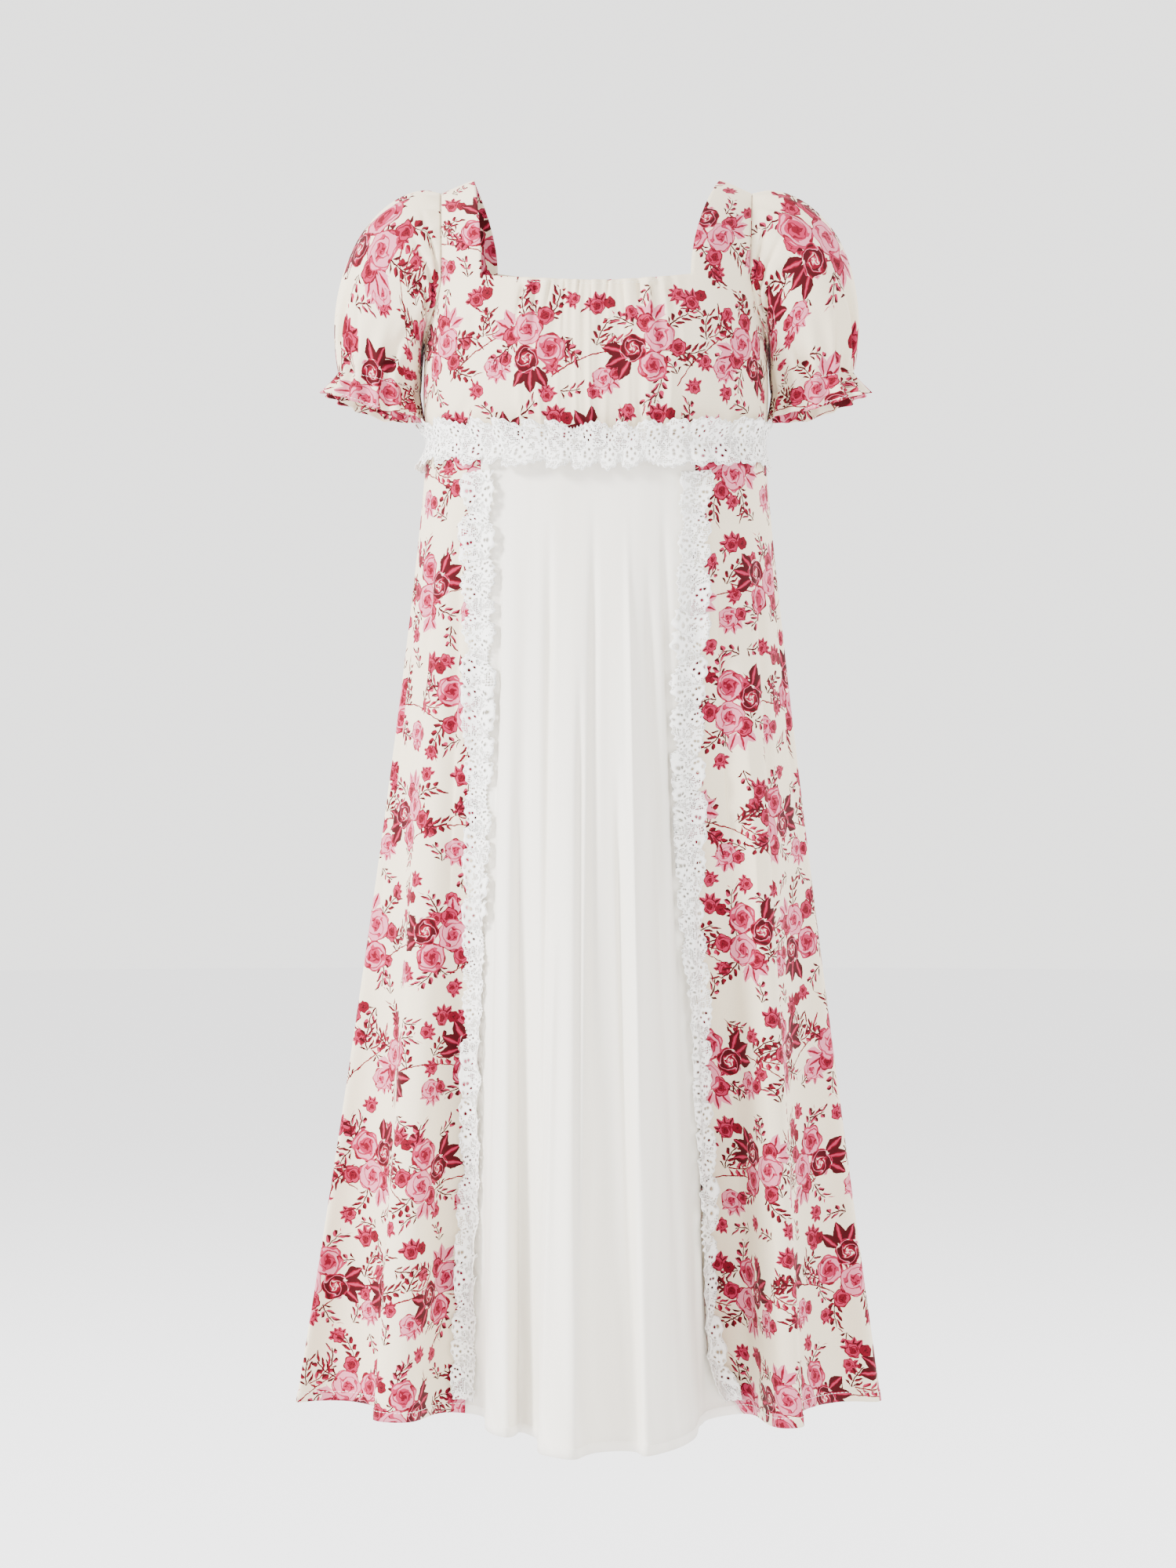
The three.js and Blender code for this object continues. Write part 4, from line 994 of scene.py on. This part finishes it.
# %% Light folds of the skirt
FOLD_STRENGTH = 2.2
LIGHT_COLUMNS = ("angle", "top", "end", "width", "depth")
LIGHT_FOLDS = [dict(zip(LIGHT_COLUMNS, row)) for row in (
    (-84, 0.05, 0.60, 2.6, 2.0), (-70, 0.02, 0.42, 2.2, 1.6), (-57, 0.04, 0.66, 2.4, 2.2),
    (-41, 0.04, 0.98, 1.4, 1.6), (-33, 0.30, 1.10, 1.5, 2.2), (-21, 0.06, 0.84, 1.9, 2.4),
    (-15, 0.45, 1.10, 1.3, -1.8), (-7, 0.20, 0.92, 1.5, 2.0), (-1, 0.04, 0.70, 1.8, 1.7),
    (8, 0.30, 1.10, 1.8, 2.6), (14, 0.06, 0.76, 1.4, -1.6), (23, 0.10, 1.05, 1.8, 2.2),
    (30, 0.04, 0.66, 1.6, 1.8), (36, 0.35, 1.10, 1.6, -1.8), (52, 0.03, 0.60, 2.2, 2.0),
    (58, 0.25, 1.05, 1.8, -1.6), (69, 0.06, 0.72, 2.4, 2.2), (84, 0.03, 0.55, 2.8, 1.8),
    (97, 0.04, 0.66, 2.4, 2.0), (110, 0.10, 0.80, 2.2, 2.2), (122, 0.03, 0.52, 2.6, 1.8),
    (136, 0.05, 0.70, 2.2, 2.2), (149, 0.08, 0.60, 2.2, 1.8), (160, 0.04, 0.82, 2.0, 2.0),
    (172, 0.35, 1.00, 1.8, 1.8), (186, 0.30, 0.98, 1.8, -1.6), (196, 0.05, 0.68, 2.2, 2.2),
    (209, 0.04, 0.76, 2.4, 2.0), (222, 0.10, 0.60, 2.2, 1.8), (235, 0.05, 0.84, 2.2, 2.2),
    (249, 0.04, 0.56, 2.6, 1.8), (262, 0.06, 0.72, 2.4, 2.0))]


def light_folds(angle, down):
    depth = 0
    for fold in LIGHT_FOLDS:
        beside = np.mod(angle - fold["angle"] + 180, 360) - 180
        inside = smooth((down - fold["top"]) / 0.16) * smooth((fold["end"] - down) / 0.22)
        depth = depth + FOLD_STRENGTH * fold["depth"] * inside * np.exp(-(beside / fold["width"]) ** 2)
    return depth


def skirt_point(angle, down):
    """Down runs from 0 at the waist seam to 1 at the hem."""
    top = plain_body(angle, waist_z(angle))
    base = at_angle(angle, reach(angle, HEM_BASE["side"], HEM_BASE["front"], HEM_BASE["back"], 2), 0.0)
    hem_x, hem_y = hem_line(angle)
    grown = np.clip((down - FOLDS_FROM) / (1 - FOLDS_FROM), 0, 1) ** FOLD_GROWTH
    inward = at_angle(angle, 1.0, 0.0) * light_folds(angle, down)[..., None]
    return np.stack([
        lerp(top[..., 0], base[..., 0], down) + (hem_x - base[..., 0]) * grown,
        lerp(top[..., 1], base[..., 1], down) + (hem_y - base[..., 1]) * grown,
        lerp(waist_z(angle) - SEAM, hem_z(angle), down)], axis=-1) - inward


# %% [markdown]
# Each panel lies between two seams. The hem is turned up twice, so its last 8 mm stand a little
# proud, and a row of stitches holds it.

# %% Skirt pieces
SKIRT_STRIPS = 104
HEM_DEPTH, HEM_STEP = 8.0, 0.45
SKIRT_LENGTH = WAIST_SIDE - HEM_SIDE
PRINT_PER_DEGREE = 3.1


def seam_left(down):
    return from_rows(PANEL_SEAMS, "down", down, "left")


def seam_right(down):
    return from_rows(PANEL_SEAMS, "down", down, "right")


def degrees_for(angle, down, distance):
    """Degrees round the skirt that make up a distance at this place."""
    step = 0.2
    length = np.linalg.norm(skirt_point(angle + step, down) - skirt_point(angle, down), axis=-1)
    return distance * step / length


def skirt_panel(name, start, end, columns, finish):
    rows = np.linspace(0, 1, SKIRT_STRIPS)
    rows = np.sort(np.concatenate([rows, 1 - (HEM_DEPTH + np.array([-0.6, 0.6])) / SKIRT_LENGTH]))
    first = start(rows) + degrees_for(start(rows), rows, SEAM / 2)
    last = end(rows) - degrees_for(end(rows), rows, SEAM / 2)
    angle = first[:, None] + (last - first)[:, None] * np.linspace(0, 1, columns)[None, :]
    down = np.broadcast_to(rows[:, None], angle.shape)
    points = skirt_point(angle, down)
    normals = grid_normals(points)
    turned_up = smooth((down - (1 - HEM_DEPTH / SKIRT_LENGTH)) * SKIRT_LENGTH / 0.8 + 0.5)
    points = points + normals * (HEM_STEP * turned_up)[..., None]
    walked = lengths(points, 1)
    fallen = lengths(points, 0)
    middle = columns // 2
    centre = at_angle(angle, 1.0, 0.0)[0, middle]
    offset = math.degrees(math.atan2(centre[0], -centre[1])) * PRINT_PER_DEGREE
    flat = np.stack([walked - walked[:, middle:middle + 1] + offset,
                     WAIST_SIDE - np.broadcast_to(fallen[:, middle:middle + 1], walked.shape)], axis=-1)
    cloth_piece(name, [(points, flat)], finish)
    row = np.argmin(np.abs(rows - (1 - HEM_DEPTH * 0.86 / SKIRT_LENGTH)))
    return points[row], normals[row]


def constant(angle):
    return lambda down: np.full_like(down, angle)


hem_rows = [
    skirt_panel("skirt_front_panel", seam_left, seam_right, 150, CREPE),
    skirt_panel("skirt_front_left", constant(-90.0), seam_left, 90, COTTON),
    skirt_panel("skirt_front_right", seam_right, constant(90.0), 90, COTTON),
    skirt_panel("skirt_back_right", constant(90.0), constant(180.0), 150, COTTON),
    skirt_panel("skirt_back_left", constant(180.0), constant(270.0), 150, COTTON),
]
stitch_rows("hem_stitches", hem_rows)

# %% [markdown]
# A sleeve is a puff between the armhole and an elastic cuff, with a ruffled edge below the
# elastic. Its lines run from the armhole to the cuff as curves that swell out, and the gathers
# are waves that are strongest at the two edges that hold them.

# %% Sleeve form
SLEEVES = {-1: {"name": "sleeve_left", "fullness": 0}, 1: {"name": "sleeve_right", "fullness": 5}}
CUFF = {"x": 165, "y": 2, "half_width": 30.5, "half_depth": 38, "z": -151.5, "tilt": 8.5}
PUFF = {"head_out": 42, "head_up": 9, "under_out": 3, "under_down": 8, "head_front": 10}
SWELL = {"out": 17, "up": 91, "up_inner": 12}
RUFFLE = {"length": 24, "lift": 9, "inner_lift": 4, "flare": 13, "inner_flare": 3}
CUFF_WAVES, CUFF_WAVE, EDGE_WAVE = 16, 2.1, 3.4
HEAD_WAVES, HEAD_WAVE = 16, 1.7
SLEEVE_CREASES = [
    {"start": (0.10, 0.90), "end": (0.13, 0.45), "width": 0.014, "depth": 3.4},
    {"start": (0.18, 0.92), "end": (0.16, 0.62), "width": 0.011, "depth": 2.6},
    {"start": (0.28, 0.90), "end": (0.33, 0.40), "width": 0.015, "depth": 3.6},
    {"start": (0.40, 0.08), "end": (0.15, 0.44), "width": 0.019, "depth": 4.6},
    {"start": (0.36, 0.05), "end": (0.12, 0.27), "width": 0.016, "depth": 4.0},
    {"start": (0.26, 0.04), "end": (0.08, 0.15), "width": 0.013, "depth": 2.6},
    {"start": (0.03, 0.92), "end": (0.02, 0.52), "width": 0.013, "depth": 3.0},
    {"start": (-0.06, 0.92), "end": (-0.09, 0.48), "width": 0.014, "depth": 3.0},
    {"start": (-0.15, 0.92), "end": (-0.13, 0.58), "width": 0.012, "depth": 2.8},
    {"start": (-0.26, 0.90), "end": (-0.31, 0.42), "width": 0.014, "depth": 3.4},
    {"start": (-0.40, 0.08), "end": (-0.17, 0.42), "width": 0.018, "depth": 4.2},
    {"start": (-0.33, 0.05), "end": (-0.12, 0.25), "width": 0.015, "depth": 3.4},
]


def armhole_line(side):
    """Armhole edge: down the front from the shoulder to the underarm, and down the back."""
    arm = STRAPS[side]["arm"]
    up = np.linspace(1, 0, 60)
    front_angle = np.linspace(arm, 90, 60)
    back_angle = np.linspace(BACK_ARM, 90, 60)
    front = np.concatenate([
        strap_point(side, False, np.ones(60), up),
        plain_body(side * front_angle, armhole_z(front_angle, arm, FRONT_BASE))])
    back = np.concatenate([
        strap_point(side, True, np.ones(60), up),
        plain_body(side * back_angle, armhole_z(180 - back_angle, 180 - BACK_ARM, BACK_BASE))])
    return front, back


def on_line(points, share):
    walked = np.concatenate([[0], np.cumsum(np.linalg.norm(np.diff(points, axis=0), axis=1))])
    return np.stack([np.interp(share * walked[-1], walked, points[:, n]) for n in range(3)], axis=-1)


def uneven(turn, rough):
    """A slow uneven wave round the sleeve, from about -1 to 1."""
    slow = 0.6 * np.sin(2 * math.pi * (3 * turn + rough))
    return slow + 0.4 * np.sin(2 * math.pi * (7 * turn + 0.3 * rough))


def sleeve_point(side, turn, down):
    """Turn runs round the arm from -0.5 to 0.5 with 0 outside, and down from 0 to 1 and 2."""
    fullness = SLEEVES[side]["fullness"]
    front, back = armhole_line(side)
    angle = 2 * math.pi * turn
    outness = (1 + np.cos(angle)) / 2
    free = smooth(outness * 3)
    seam = np.where((turn >= 0)[..., None], on_line(front, np.abs(turn) * 2), on_line(back, np.abs(turn) * 2))
    seam[..., 0] += side * 2 * SEAM
    away = np.stack([side * np.cos(angle), -np.sin(angle), 0 * angle], axis=-1)
    ring = reach(turn * 360 + 90, CUFF["half_width"], CUFF["half_depth"], CUFF["half_depth"], SQUARENESS)
    cuff = np.stack([side * CUFF["x"] + 0 * angle, CUFF["y"] + 0 * angle,
                     CUFF["z"] + CUFF["tilt"] * np.cos(angle)], axis=-1) + away * ring[..., None]
    leave = seam + np.stack([side * lerp(PUFF["under_out"], PUFF["head_out"] + fullness, outness),
                             -PUFF["head_front"] * np.sin(angle),
                             lerp(-PUFF["under_down"], PUFF["head_up"], outness)], axis=-1)
    arrive = cuff + away * ((SWELL["out"] + fullness) * np.sqrt(outness))[..., None]
    arrive[..., 2] += lerp(SWELL["up_inner"], SWELL["up"], outness ** 1.3)
    puff = np.clip(down, 0, 1)[..., None]
    point = (seam * (1 - puff) ** 3 + leave * 3 * puff * (1 - puff) ** 2
             + arrive * 3 * puff ** 2 * (1 - puff) + cuff * puff ** 3)
    edge = np.maximum(0, down - 1)
    point = point + away * (lerp(RUFFLE["inner_flare"], RUFFLE["flare"], outness) * edge ** 1.2)[..., None]
    lift = (RUFFLE["lift"] * np.maximum(0, np.cos(angle))
            + RUFFLE["inner_lift"] * np.maximum(0, -np.cos(angle)))
    point[..., 2] -= (RUFFLE["length"] - lift) * edge
    start = 0.62 + 0.13 * uneven(turn, 0.2 * side)
    grip = smooth((puff[..., 0] - start) / (1 - start))
    phase = 2 * math.pi * CUFF_WAVES * turn + 0.8 * uneven(turn, 0.5 + 0.1 * side)
    swing = np.cos(phase) * (1 + 0.28 * uneven(turn, 0.8))
    point = point + away * (lerp(CUFF_WAVE * grip, EDGE_WAVE, edge) * swing * lerp(0.2, 1, free))[..., None]
    head = smooth(down / 0.1) * smooth((0.5 + 0.08 * uneven(turn, 0.1) - down) / 0.38)
    head_phase = 2 * math.pi * HEAD_WAVES * turn + 0.7 * uneven(turn, 0.6)
    head_wave = HEAD_WAVE * 1.15 * head * free * np.cos(head_phase)
    point[..., 2] += head_wave * outness
    return point + away * (head_wave * (1 - outness))[..., None]


# %% [markdown]
# The sleeve's cloth is wider than the arm. Its flat width is a chosen 300 mm all the way down,
# so the print is squeezed where the gathers hold it, as on the real sleeve.

# %% Sleeve pieces
SLEEVE_COLUMNS = 288
SLEEVE_ROWS = np.concatenate([np.linspace(0, 0.6, 44), np.linspace(0.6, 1, 34)[1:],
                              np.linspace(1, 2, 26)[1:]])
SLEEVE_WIDTH, SLEEVE_SHIFT, SLEEVE_STRENGTH = 300.0, 420, 1.6
sleeve_stitches = []
for side, sleeve in SLEEVES.items():
    turn = np.linspace(-0.5, 0.5, SLEEVE_COLUMNS + 1)
    turns, downs = np.meshgrid(turn, SLEEVE_ROWS)
    points = sleeve_point(side, turns, downs)
    axis = (side * CUFF["x"], CUFF["y"])
    pressed = press(points, np.stack([turns, downs], axis=-1), SLEEVE_CREASES, axis,
                    strength=SLEEVE_STRENGTH)
    fallen = np.median(lengths(pressed, 0), axis=1)[:, None] + 0 * turns
    flat = np.stack([side * turns * SLEEVE_WIDTH + side * SLEEVE_SHIFT, -fallen], axis=-1)
    cloth_piece(sleeve["name"], [(pressed, flat)], COTTON, axis=axis, held="gathered")
    normals = grid_normals(pressed, axis)
    for level in (1.0, 1.92):
        row = np.argmin(np.abs(SLEEVE_ROWS - level))
        sleeve_stitches.append((pressed[row], normals[row]))
stitch_rows("sleeve_stitches", sleeve_stitches)
stitch_rows("neck_stitches", neck_rows)

# %% [markdown]
# The lace is gathered along its middle, so both of its edges ripple in uneven waves that stand
# off the cloth and lean over each other. Small picots scallop the edges. Its flat strip counts
# as 1.25 times the run, which is what these waves take up. Real lace is often gathered fuller.

# %% Waist lace
WAIST_LACE = {"up": 16.5, "down": 19, "waves": 30, "stand": 6.5, "lean": 1.9,
              "run": 713, "flat_half": 17, "picots": 165}
LACE_FULLNESS = 1.25
PICOT_DEPTH = 0.9
REST = 0.5
CAD_TRIM = 1.1


def waist_outside(angle, height):
    """Outside of the dress beside the waist seam, with the gathers evened out."""
    z = waist_z(angle) + height
    bare = body_point(angle, np.maximum(z, waist_z(angle)))
    cover = GATHER_DEPTH * smooth((1 - np.abs(angle) / GATHER_ANGLE) * 3 + 0.5)
    cover = cover * 1.35 - gather(angle, bare[..., 2])
    flare = HEM_BASE["side"] - BODY_ROWS[0]["side"]
    spread = np.where(height < 0, -height * flare / (HEM_SIDE - WAIST_SIDE), 0)
    bare = bare + at_angle(angle, 1.0, 0.0) * (cover - spread)[..., None]
    bare[..., 2] = z
    return bare


def ripple(turns, waves, shift):
    """Phase of the waves along a lace edge, with waves of uneven length."""
    return 2 * math.pi * (waves * turns + shift) + 1.1 * np.sin(2 * math.pi * (7 * turns + shift)) \
        + 0.8 * np.sin(2 * math.pi * (13 * turns + 2.3 * shift))


def lace_offsets(turns, across, waves, shift):
    """How far each point of a lace stands off, leans along and spreads, as shares of 1."""
    phase = ripple(turns, waves, np.where(across > 0, shift, shift + 0.37))
    size = np.abs(across) ** 1.25
    uneven_size = 0.8 + 0.35 * np.sin(2 * math.pi * (5 * turns + shift))
    stand = size * (0.5 + 0.5 * np.cos(phase)) * uneven_size
    lean = size * np.sin(phase) * uneven_size
    spread = 1 - 0.32 * size * (0.5 - 0.5 * np.cos(phase + 0.7))
    return stand, lean, spread


def picot_edge(turns, across, count):
    """The small scallops that only the two edges of a lace have."""
    return (across ** 8) * PICOT_DEPTH * np.cos(2 * math.pi * turns * count) * np.sign(across)


def lace_border(across):
    """1 over the net and 0 along the firm edges, where no hole is cut."""
    return np.clip((0.93 - np.abs(across)) / 0.05, 0, 1)


WAIST_COLUMNS = 1080
LACE_ACROSS = np.linspace(-1, 1, 13)
turns, across = np.meshgrid(np.linspace(0, 1, WAIST_COLUMNS + 1), LACE_ACROSS)
stand, lean, spread = lace_offsets(turns, across, WAIST_LACE["waves"], 0.1)
angle = turns * 360 - 180 + lean * WAIST_LACE["lean"]
height = across * np.where(across > 0, WAIST_LACE["up"], WAIST_LACE["down"]) * spread
height = height + picot_edge(turns, across, WAIST_LACE["picots"])
off = REST + CAD_TRIM + WAIST_LACE["stand"] * stand
points = waist_outside(angle, height) + at_angle(angle, 1.0, 0.0) * off[..., None]
points[:, -1] = points[:, 0]
flat = np.stack([turns * WAIST_LACE["run"] * LACE_FULLNESS, across * WAIST_LACE["flat_half"]], axis=-1)
cloth_piece("lace_waist", [(points, flat)], LACE, wall=TRIM, held="gathered",
            border=lace_border(across))

# %% [markdown]
# The two laces beside the panel cover its seams. At each height a lace point is found by
# walking along the skirt's section from the seam, and then moved out along the normal.

# %% Panel laces
PANEL_LACE = {"half_width": 12.8, "waves": 27, "stand": 5.6, "lean": 5.2, "start": 0.03, "end": 0.985,
              "run": 700, "flat_half": 12, "picots": 168}
LACE_ROWS = 860
SECTION_ANGLE, SECTION_POINTS = 7, 141


def panel_lace(name, seam, shift):
    along = np.linspace(0, 1, LACE_ROWS)
    down = lerp(PANEL_LACE["start"], PANEL_LACE["end"], along)
    middle = seam(down)
    beside = np.linspace(-SECTION_ANGLE, SECTION_ANGLE, SECTION_POINTS)
    section = skirt_point(middle[:, None] + beside[None, :],
                          np.broadcast_to(down[:, None], (LACE_ROWS, SECTION_POINTS)))
    walked = lengths(section, 1)
    at_seam = SECTION_POINTS // 2
    walked = walked - walked[:, at_seam:at_seam + 1]
    normals = grid_normals(section)
    turns, sides = np.meshgrid(along, LACE_ACROSS, indexing="ij")
    stand, lean, spread = lace_offsets(turns, sides, PANEL_LACE["waves"], shift)
    distance = sides * PANEL_LACE["half_width"] * (spread + 0.12 * (stand - 0.5))
    distance = distance + picot_edge(turns, sides, PANEL_LACE["picots"])
    row_shift = lean * PANEL_LACE["lean"] * LACE_ROWS / PANEL_LACE["run"]
    rows = np.clip(np.arange(LACE_ROWS)[:, None] + row_shift, 0, LACE_ROWS - 1.001)
    low = rows.astype(int)
    part = (rows - low)[..., None]
    points = np.zeros(turns.shape + (3,))
    for j in range(LACE_ROWS):
        for i in range(len(LACE_ACROSS)):
            k = low[j, i]
            at = [np.array([np.interp(distance[j, i], walked[r], field[r, :, n]) for n in range(3)])
                  for field in (section, normals) for r in (k, k + 1)]
            place = lerp(at[0], at[1], part[j, i])
            normal = lerp(at[2], at[3], part[j, i])
            points[j, i] = place + normal * (REST + CAD_TRIM + PANEL_LACE["stand"] * stand[j, i])
    flat = np.stack([turns * PANEL_LACE["run"] * LACE_FULLNESS, sides * PANEL_LACE["flat_half"]], axis=-1)
    return cloth_piece(name, [(points, flat)], LACE, wall=TRIM, held="gathered",
                       border=lace_border(sides))


panel_lace("lace_left", seam_left, 0.0)
panel_lace("lace_right", seam_right, 0.43)

# %% [markdown]
# The zip lies behind the centre-back seam, from the neck to below the waist. Its tape is woven
# and carries a coil of small teeth on the inside. The slider stays closed at the top.

# %% Zip tape and teeth
TAPE = {"half_width": 11, "top": -68, "bottom": -300, "back": 2.1}
TOOTH = {"pitch": 1.6, "width": 3.6, "height": 0.9, "depth": 1.0}


def back_point(angle, z):
    """Back of the dress at a height, above or below the waist seam."""
    below = skirt_point(angle, np.clip((z - WAIST_SIDE) / (hem_z(180) - WAIST_SIDE), 0, 1))
    return np.where((z > WAIST_SIDE)[..., None], body_point(angle, np.maximum(z, WAIST_SIDE)), below)


tape_angle = math.degrees(TAPE["half_width"] / BODY_ROWS[0]["back"])
angles, heights = np.meshgrid(np.linspace(180 - tape_angle, 180 + tape_angle, 17),
                              np.linspace(TAPE["bottom"], TAPE["top"], 90))
tape = back_point(angles, heights)
tape_normals = grid_normals(tape)
tape = tape - tape_normals * TAPE["back"]
flat = np.stack([(angles - 180) * TAPE["half_width"] / tape_angle, heights], axis=-1)
cloth_piece("zip_tape", [(tape, flat)], TAPE_CLOTH, wall=0.6)

corners, faces = [], []
for level in np.arange(TAPE["bottom"] + 3, TAPE["top"] - 1, TOOTH["pitch"]):
    row = np.argmin(np.abs(heights[:, 0] - level))
    centre = np.array([np.interp(level, heights[:, 0], tape[:, 8, n]) for n in range(3)])
    inward = -tape_normals[row, 8]
    base = len(corners)
    for side, out, up in ((-1, 0, -1), (1, 0, -1), (1, 0, 1), (-1, 0, 1),
                          (-0.7, 1, -0.7), (0.7, 1, -0.7), (0.7, 1, 0.7), (-0.7, 1, 0.7)):
        corners.append(centre + np.array([side * TOOTH["width"] / 2, 0, up * TOOTH["height"] / 2])
                       + inward * (0.6 + out * TOOTH["depth"]))
    faces += [tuple(base + n for n in face) for face in
              ((0, 1, 2, 3), (7, 6, 5, 4), (0, 4, 5, 1), (1, 5, 6, 2), (2, 6, 7, 3), (3, 7, 4, 0))]
small_parts("zip_teeth", corners, faces, TAPE_CLOTH)

# %% [markdown]
# The slider and its pull tab are small enamelled castings. Each starts as a block at its size,
# gets its form in edit mode and ends with a bevel. They are modelled upright at the hinge, and
# then tipped to the slope of the back.

# %% Slider and pull tab
HINGE_PLACE = frame["joints"][0]["pos_m"]
BACK_SLOPE = math.radians(6.76)


def block(size, place):
    """A block added at its size and place, in millimetres from the hinge, with its scale applied."""
    bpy.ops.object.select_all(action="DESELECT")
    bpy.ops.mesh.primitive_cube_add(size=1, location=[v * MM for v in place])
    made = bpy.context.active_object
    made.scale = [v * MM for v in size]
    bpy.ops.object.transform_apply(location=True, rotation=False, scale=True)
    return made


def finish_metal(name, parts, bevel):
    bpy.ops.object.select_all(action="DESELECT")
    for part in parts:
        part.select_set(True)
    bpy.context.view_layer.objects.active = parts[0]
    if len(parts) > 1:
        bpy.ops.object.join()
    piece = bpy.context.active_object
    piece.name = name
    edge = piece.modifiers.new("edge", "BEVEL")
    edge.width = bevel * MM
    edge.segments = 3
    edge.limit_method = "ANGLE"
    bpy.ops.object.modifier_apply(modifier=edge.name)
    bpy.ops.object.shade_smooth_by_angle(angle=math.radians(40))
    piece.rotation_euler = (BACK_SLOPE, 0, 0)
    piece.location = HINGE_PLACE
    bpy.ops.object.transform_apply(location=True, rotation=True, scale=True)
    piece.data.materials.append(ENAMEL)
    return piece


STAND_OFF, PLATE, CHEEK_X = 4.65, 1.5, 2.6
plate = block((6.6, PLATE, 9), (0, -STAND_OFF + 0.5 + PLATE / 2, 0))
bpy.ops.object.mode_set(mode="EDIT")
bpy.ops.mesh.select_all(action="DESELECT")
edit = bmesh.from_edit_mesh(plate.data)
for vertex in edit.verts:
    if vertex.co.z < 0:
        vertex.co.x *= 0.62
bmesh.update_edit_mesh(plate.data)
bpy.ops.object.mode_set(mode="OBJECT")
cheeks = [block((1.3, 4.4, 4.0), (side * CHEEK_X, -1.6, 0)) for side in (-1, 1)]
slider = finish_metal("zip_slider_body", [plate] + cheeks, 0.4)
bpy.ops.object.select_all(action="DESELECT")
bpy.ops.mesh.primitive_cylinder_add(vertices=24, radius=0.95 * MM, depth=5.2 * MM,
                                    rotation=(0, math.pi / 2, 0))
pin = finish_metal("zip_slider_pin", [bpy.context.active_object], 0.15)
for piece in (slider, pin):
    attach(piece, "dress")
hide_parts("zip_slider")

tab = block((4.8, 1.4, 17.4), (0, 0, -12.4))
bpy.ops.object.mode_set(mode="EDIT")
for sign in (-1, 1):
    bpy.ops.mesh.select_all(action="DESELECT")
    edit = bmesh.from_edit_mesh(tab.data)
    for face in edit.faces:
        face.select = face.normal.y * sign > 0.9 and abs(face.calc_center_median().x) < 1e-5
    bmesh.update_edit_mesh(tab.data)
    bpy.ops.mesh.inset(thickness=0.9 * MM)
    bpy.ops.transform.translate(value=(0, -0.25 * MM * sign, 0))
bpy.ops.object.mode_set(mode="OBJECT")
neck = block((3.1, 1.4, 2.6), (0, 0, -2.9))
bpy.ops.object.select_all(action="DESELECT")
bpy.ops.mesh.primitive_torus_add(major_radius=1.75 * MM, minor_radius=0.5 * MM, major_segments=32,
                                 minor_segments=10, rotation=(0, math.pi / 2, 0))
bpy.ops.object.transform_apply(location=True, rotation=True, scale=True)
loop = bpy.context.active_object
loop.scale = (2.6, 1, 1)
bpy.ops.object.transform_apply(location=True, rotation=True, scale=True)
pull = finish_metal("zip_pull_tab", [tab, neck, loop], 0.3)
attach(pull, "zip_pull")
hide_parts("zip_pull")
print("zip metal made")

# %% [markdown]
# Each piece of cloth is listed with the size of its flat cut. For the skirt, the back of the
# bodice and the tape, that is measured along the cloth's own grid. The front of the bodice is
# measured too and counted 1.15 times as wide for its gathers. The sleeves and the laces have
# the chosen widths that are named above.

# %% Sheets
for row in declared:
    width, height = row["flat"]
print(len(declared), "sheets")

# %% [markdown]
# The dress is shown in a pale studio: a wide flat floor, a broad soft light from the front
# left, a weaker one from the right, and light from all round that keeps the shadows open. The
# floor is flat and plain, because light that bounces about in a curved backdrop makes a
# render several times as long for the same pale ground.

# %% Studio
FLOOR_RADIUS, FLOOR_LEVEL = 14.0, -1.30


def studio_floor():
    bpy.ops.object.select_all(action="DESELECT")
    bpy.ops.mesh.primitive_circle_add(vertices=96, radius=FLOOR_RADIUS, fill_type="NGON",
                                      location=(0, 0, FLOOR_LEVEL))
    floor = bpy.context.active_object
    floor.name = "studio_floor"
    bpy.ops.object.transform_apply(location=True, rotation=False, scale=False)
    made, tree, shader = material("pale_studio_paint", Roughness=0.9, Specular_IOR_Level=0.1)
    shader.inputs["Base Color"].default_value = linear("#F7F7F9")
    floor.data.materials.append(made)
    return floor


def soft_light(name, place, size, power):
    data = bpy.data.lights.new(name, "AREA")
    data.shape = "DISK"
    data.size = size
    data.energy = power
    lamp = bpy.data.objects.new(name, data)
    bpy.context.scene.collection.objects.link(lamp)
    lamp.location = place
    lamp.visible_camera = False
    aim = np.array([0, 0, -0.45]) - np.array(place)
    lamp.rotation_euler = (math.acos(-aim[2] / np.linalg.norm(aim)), 0, math.atan2(aim[0], -aim[1]) + math.pi)
    return lamp


studio_floor()
soft_light("key", (-2.9, -1.7, 1.2), 1.0, 330)
soft_light("fill", (2.6, -2.2, 0.6), 1.8, 30)
soft_light("back_left", (-2.3, 2.4, 1.4), 1.4, 80)
soft_light("back_right", (2.6, 1.9, 1.2), 1.2, 110)
world = bpy.data.worlds.new("studio")
world.use_nodes = True
world.node_tree.nodes["Background"].inputs[0].default_value = linear("#FBFAF8")
world.node_tree.nodes["Background"].inputs[1].default_value = 2.5
bpy.context.scene.world = world
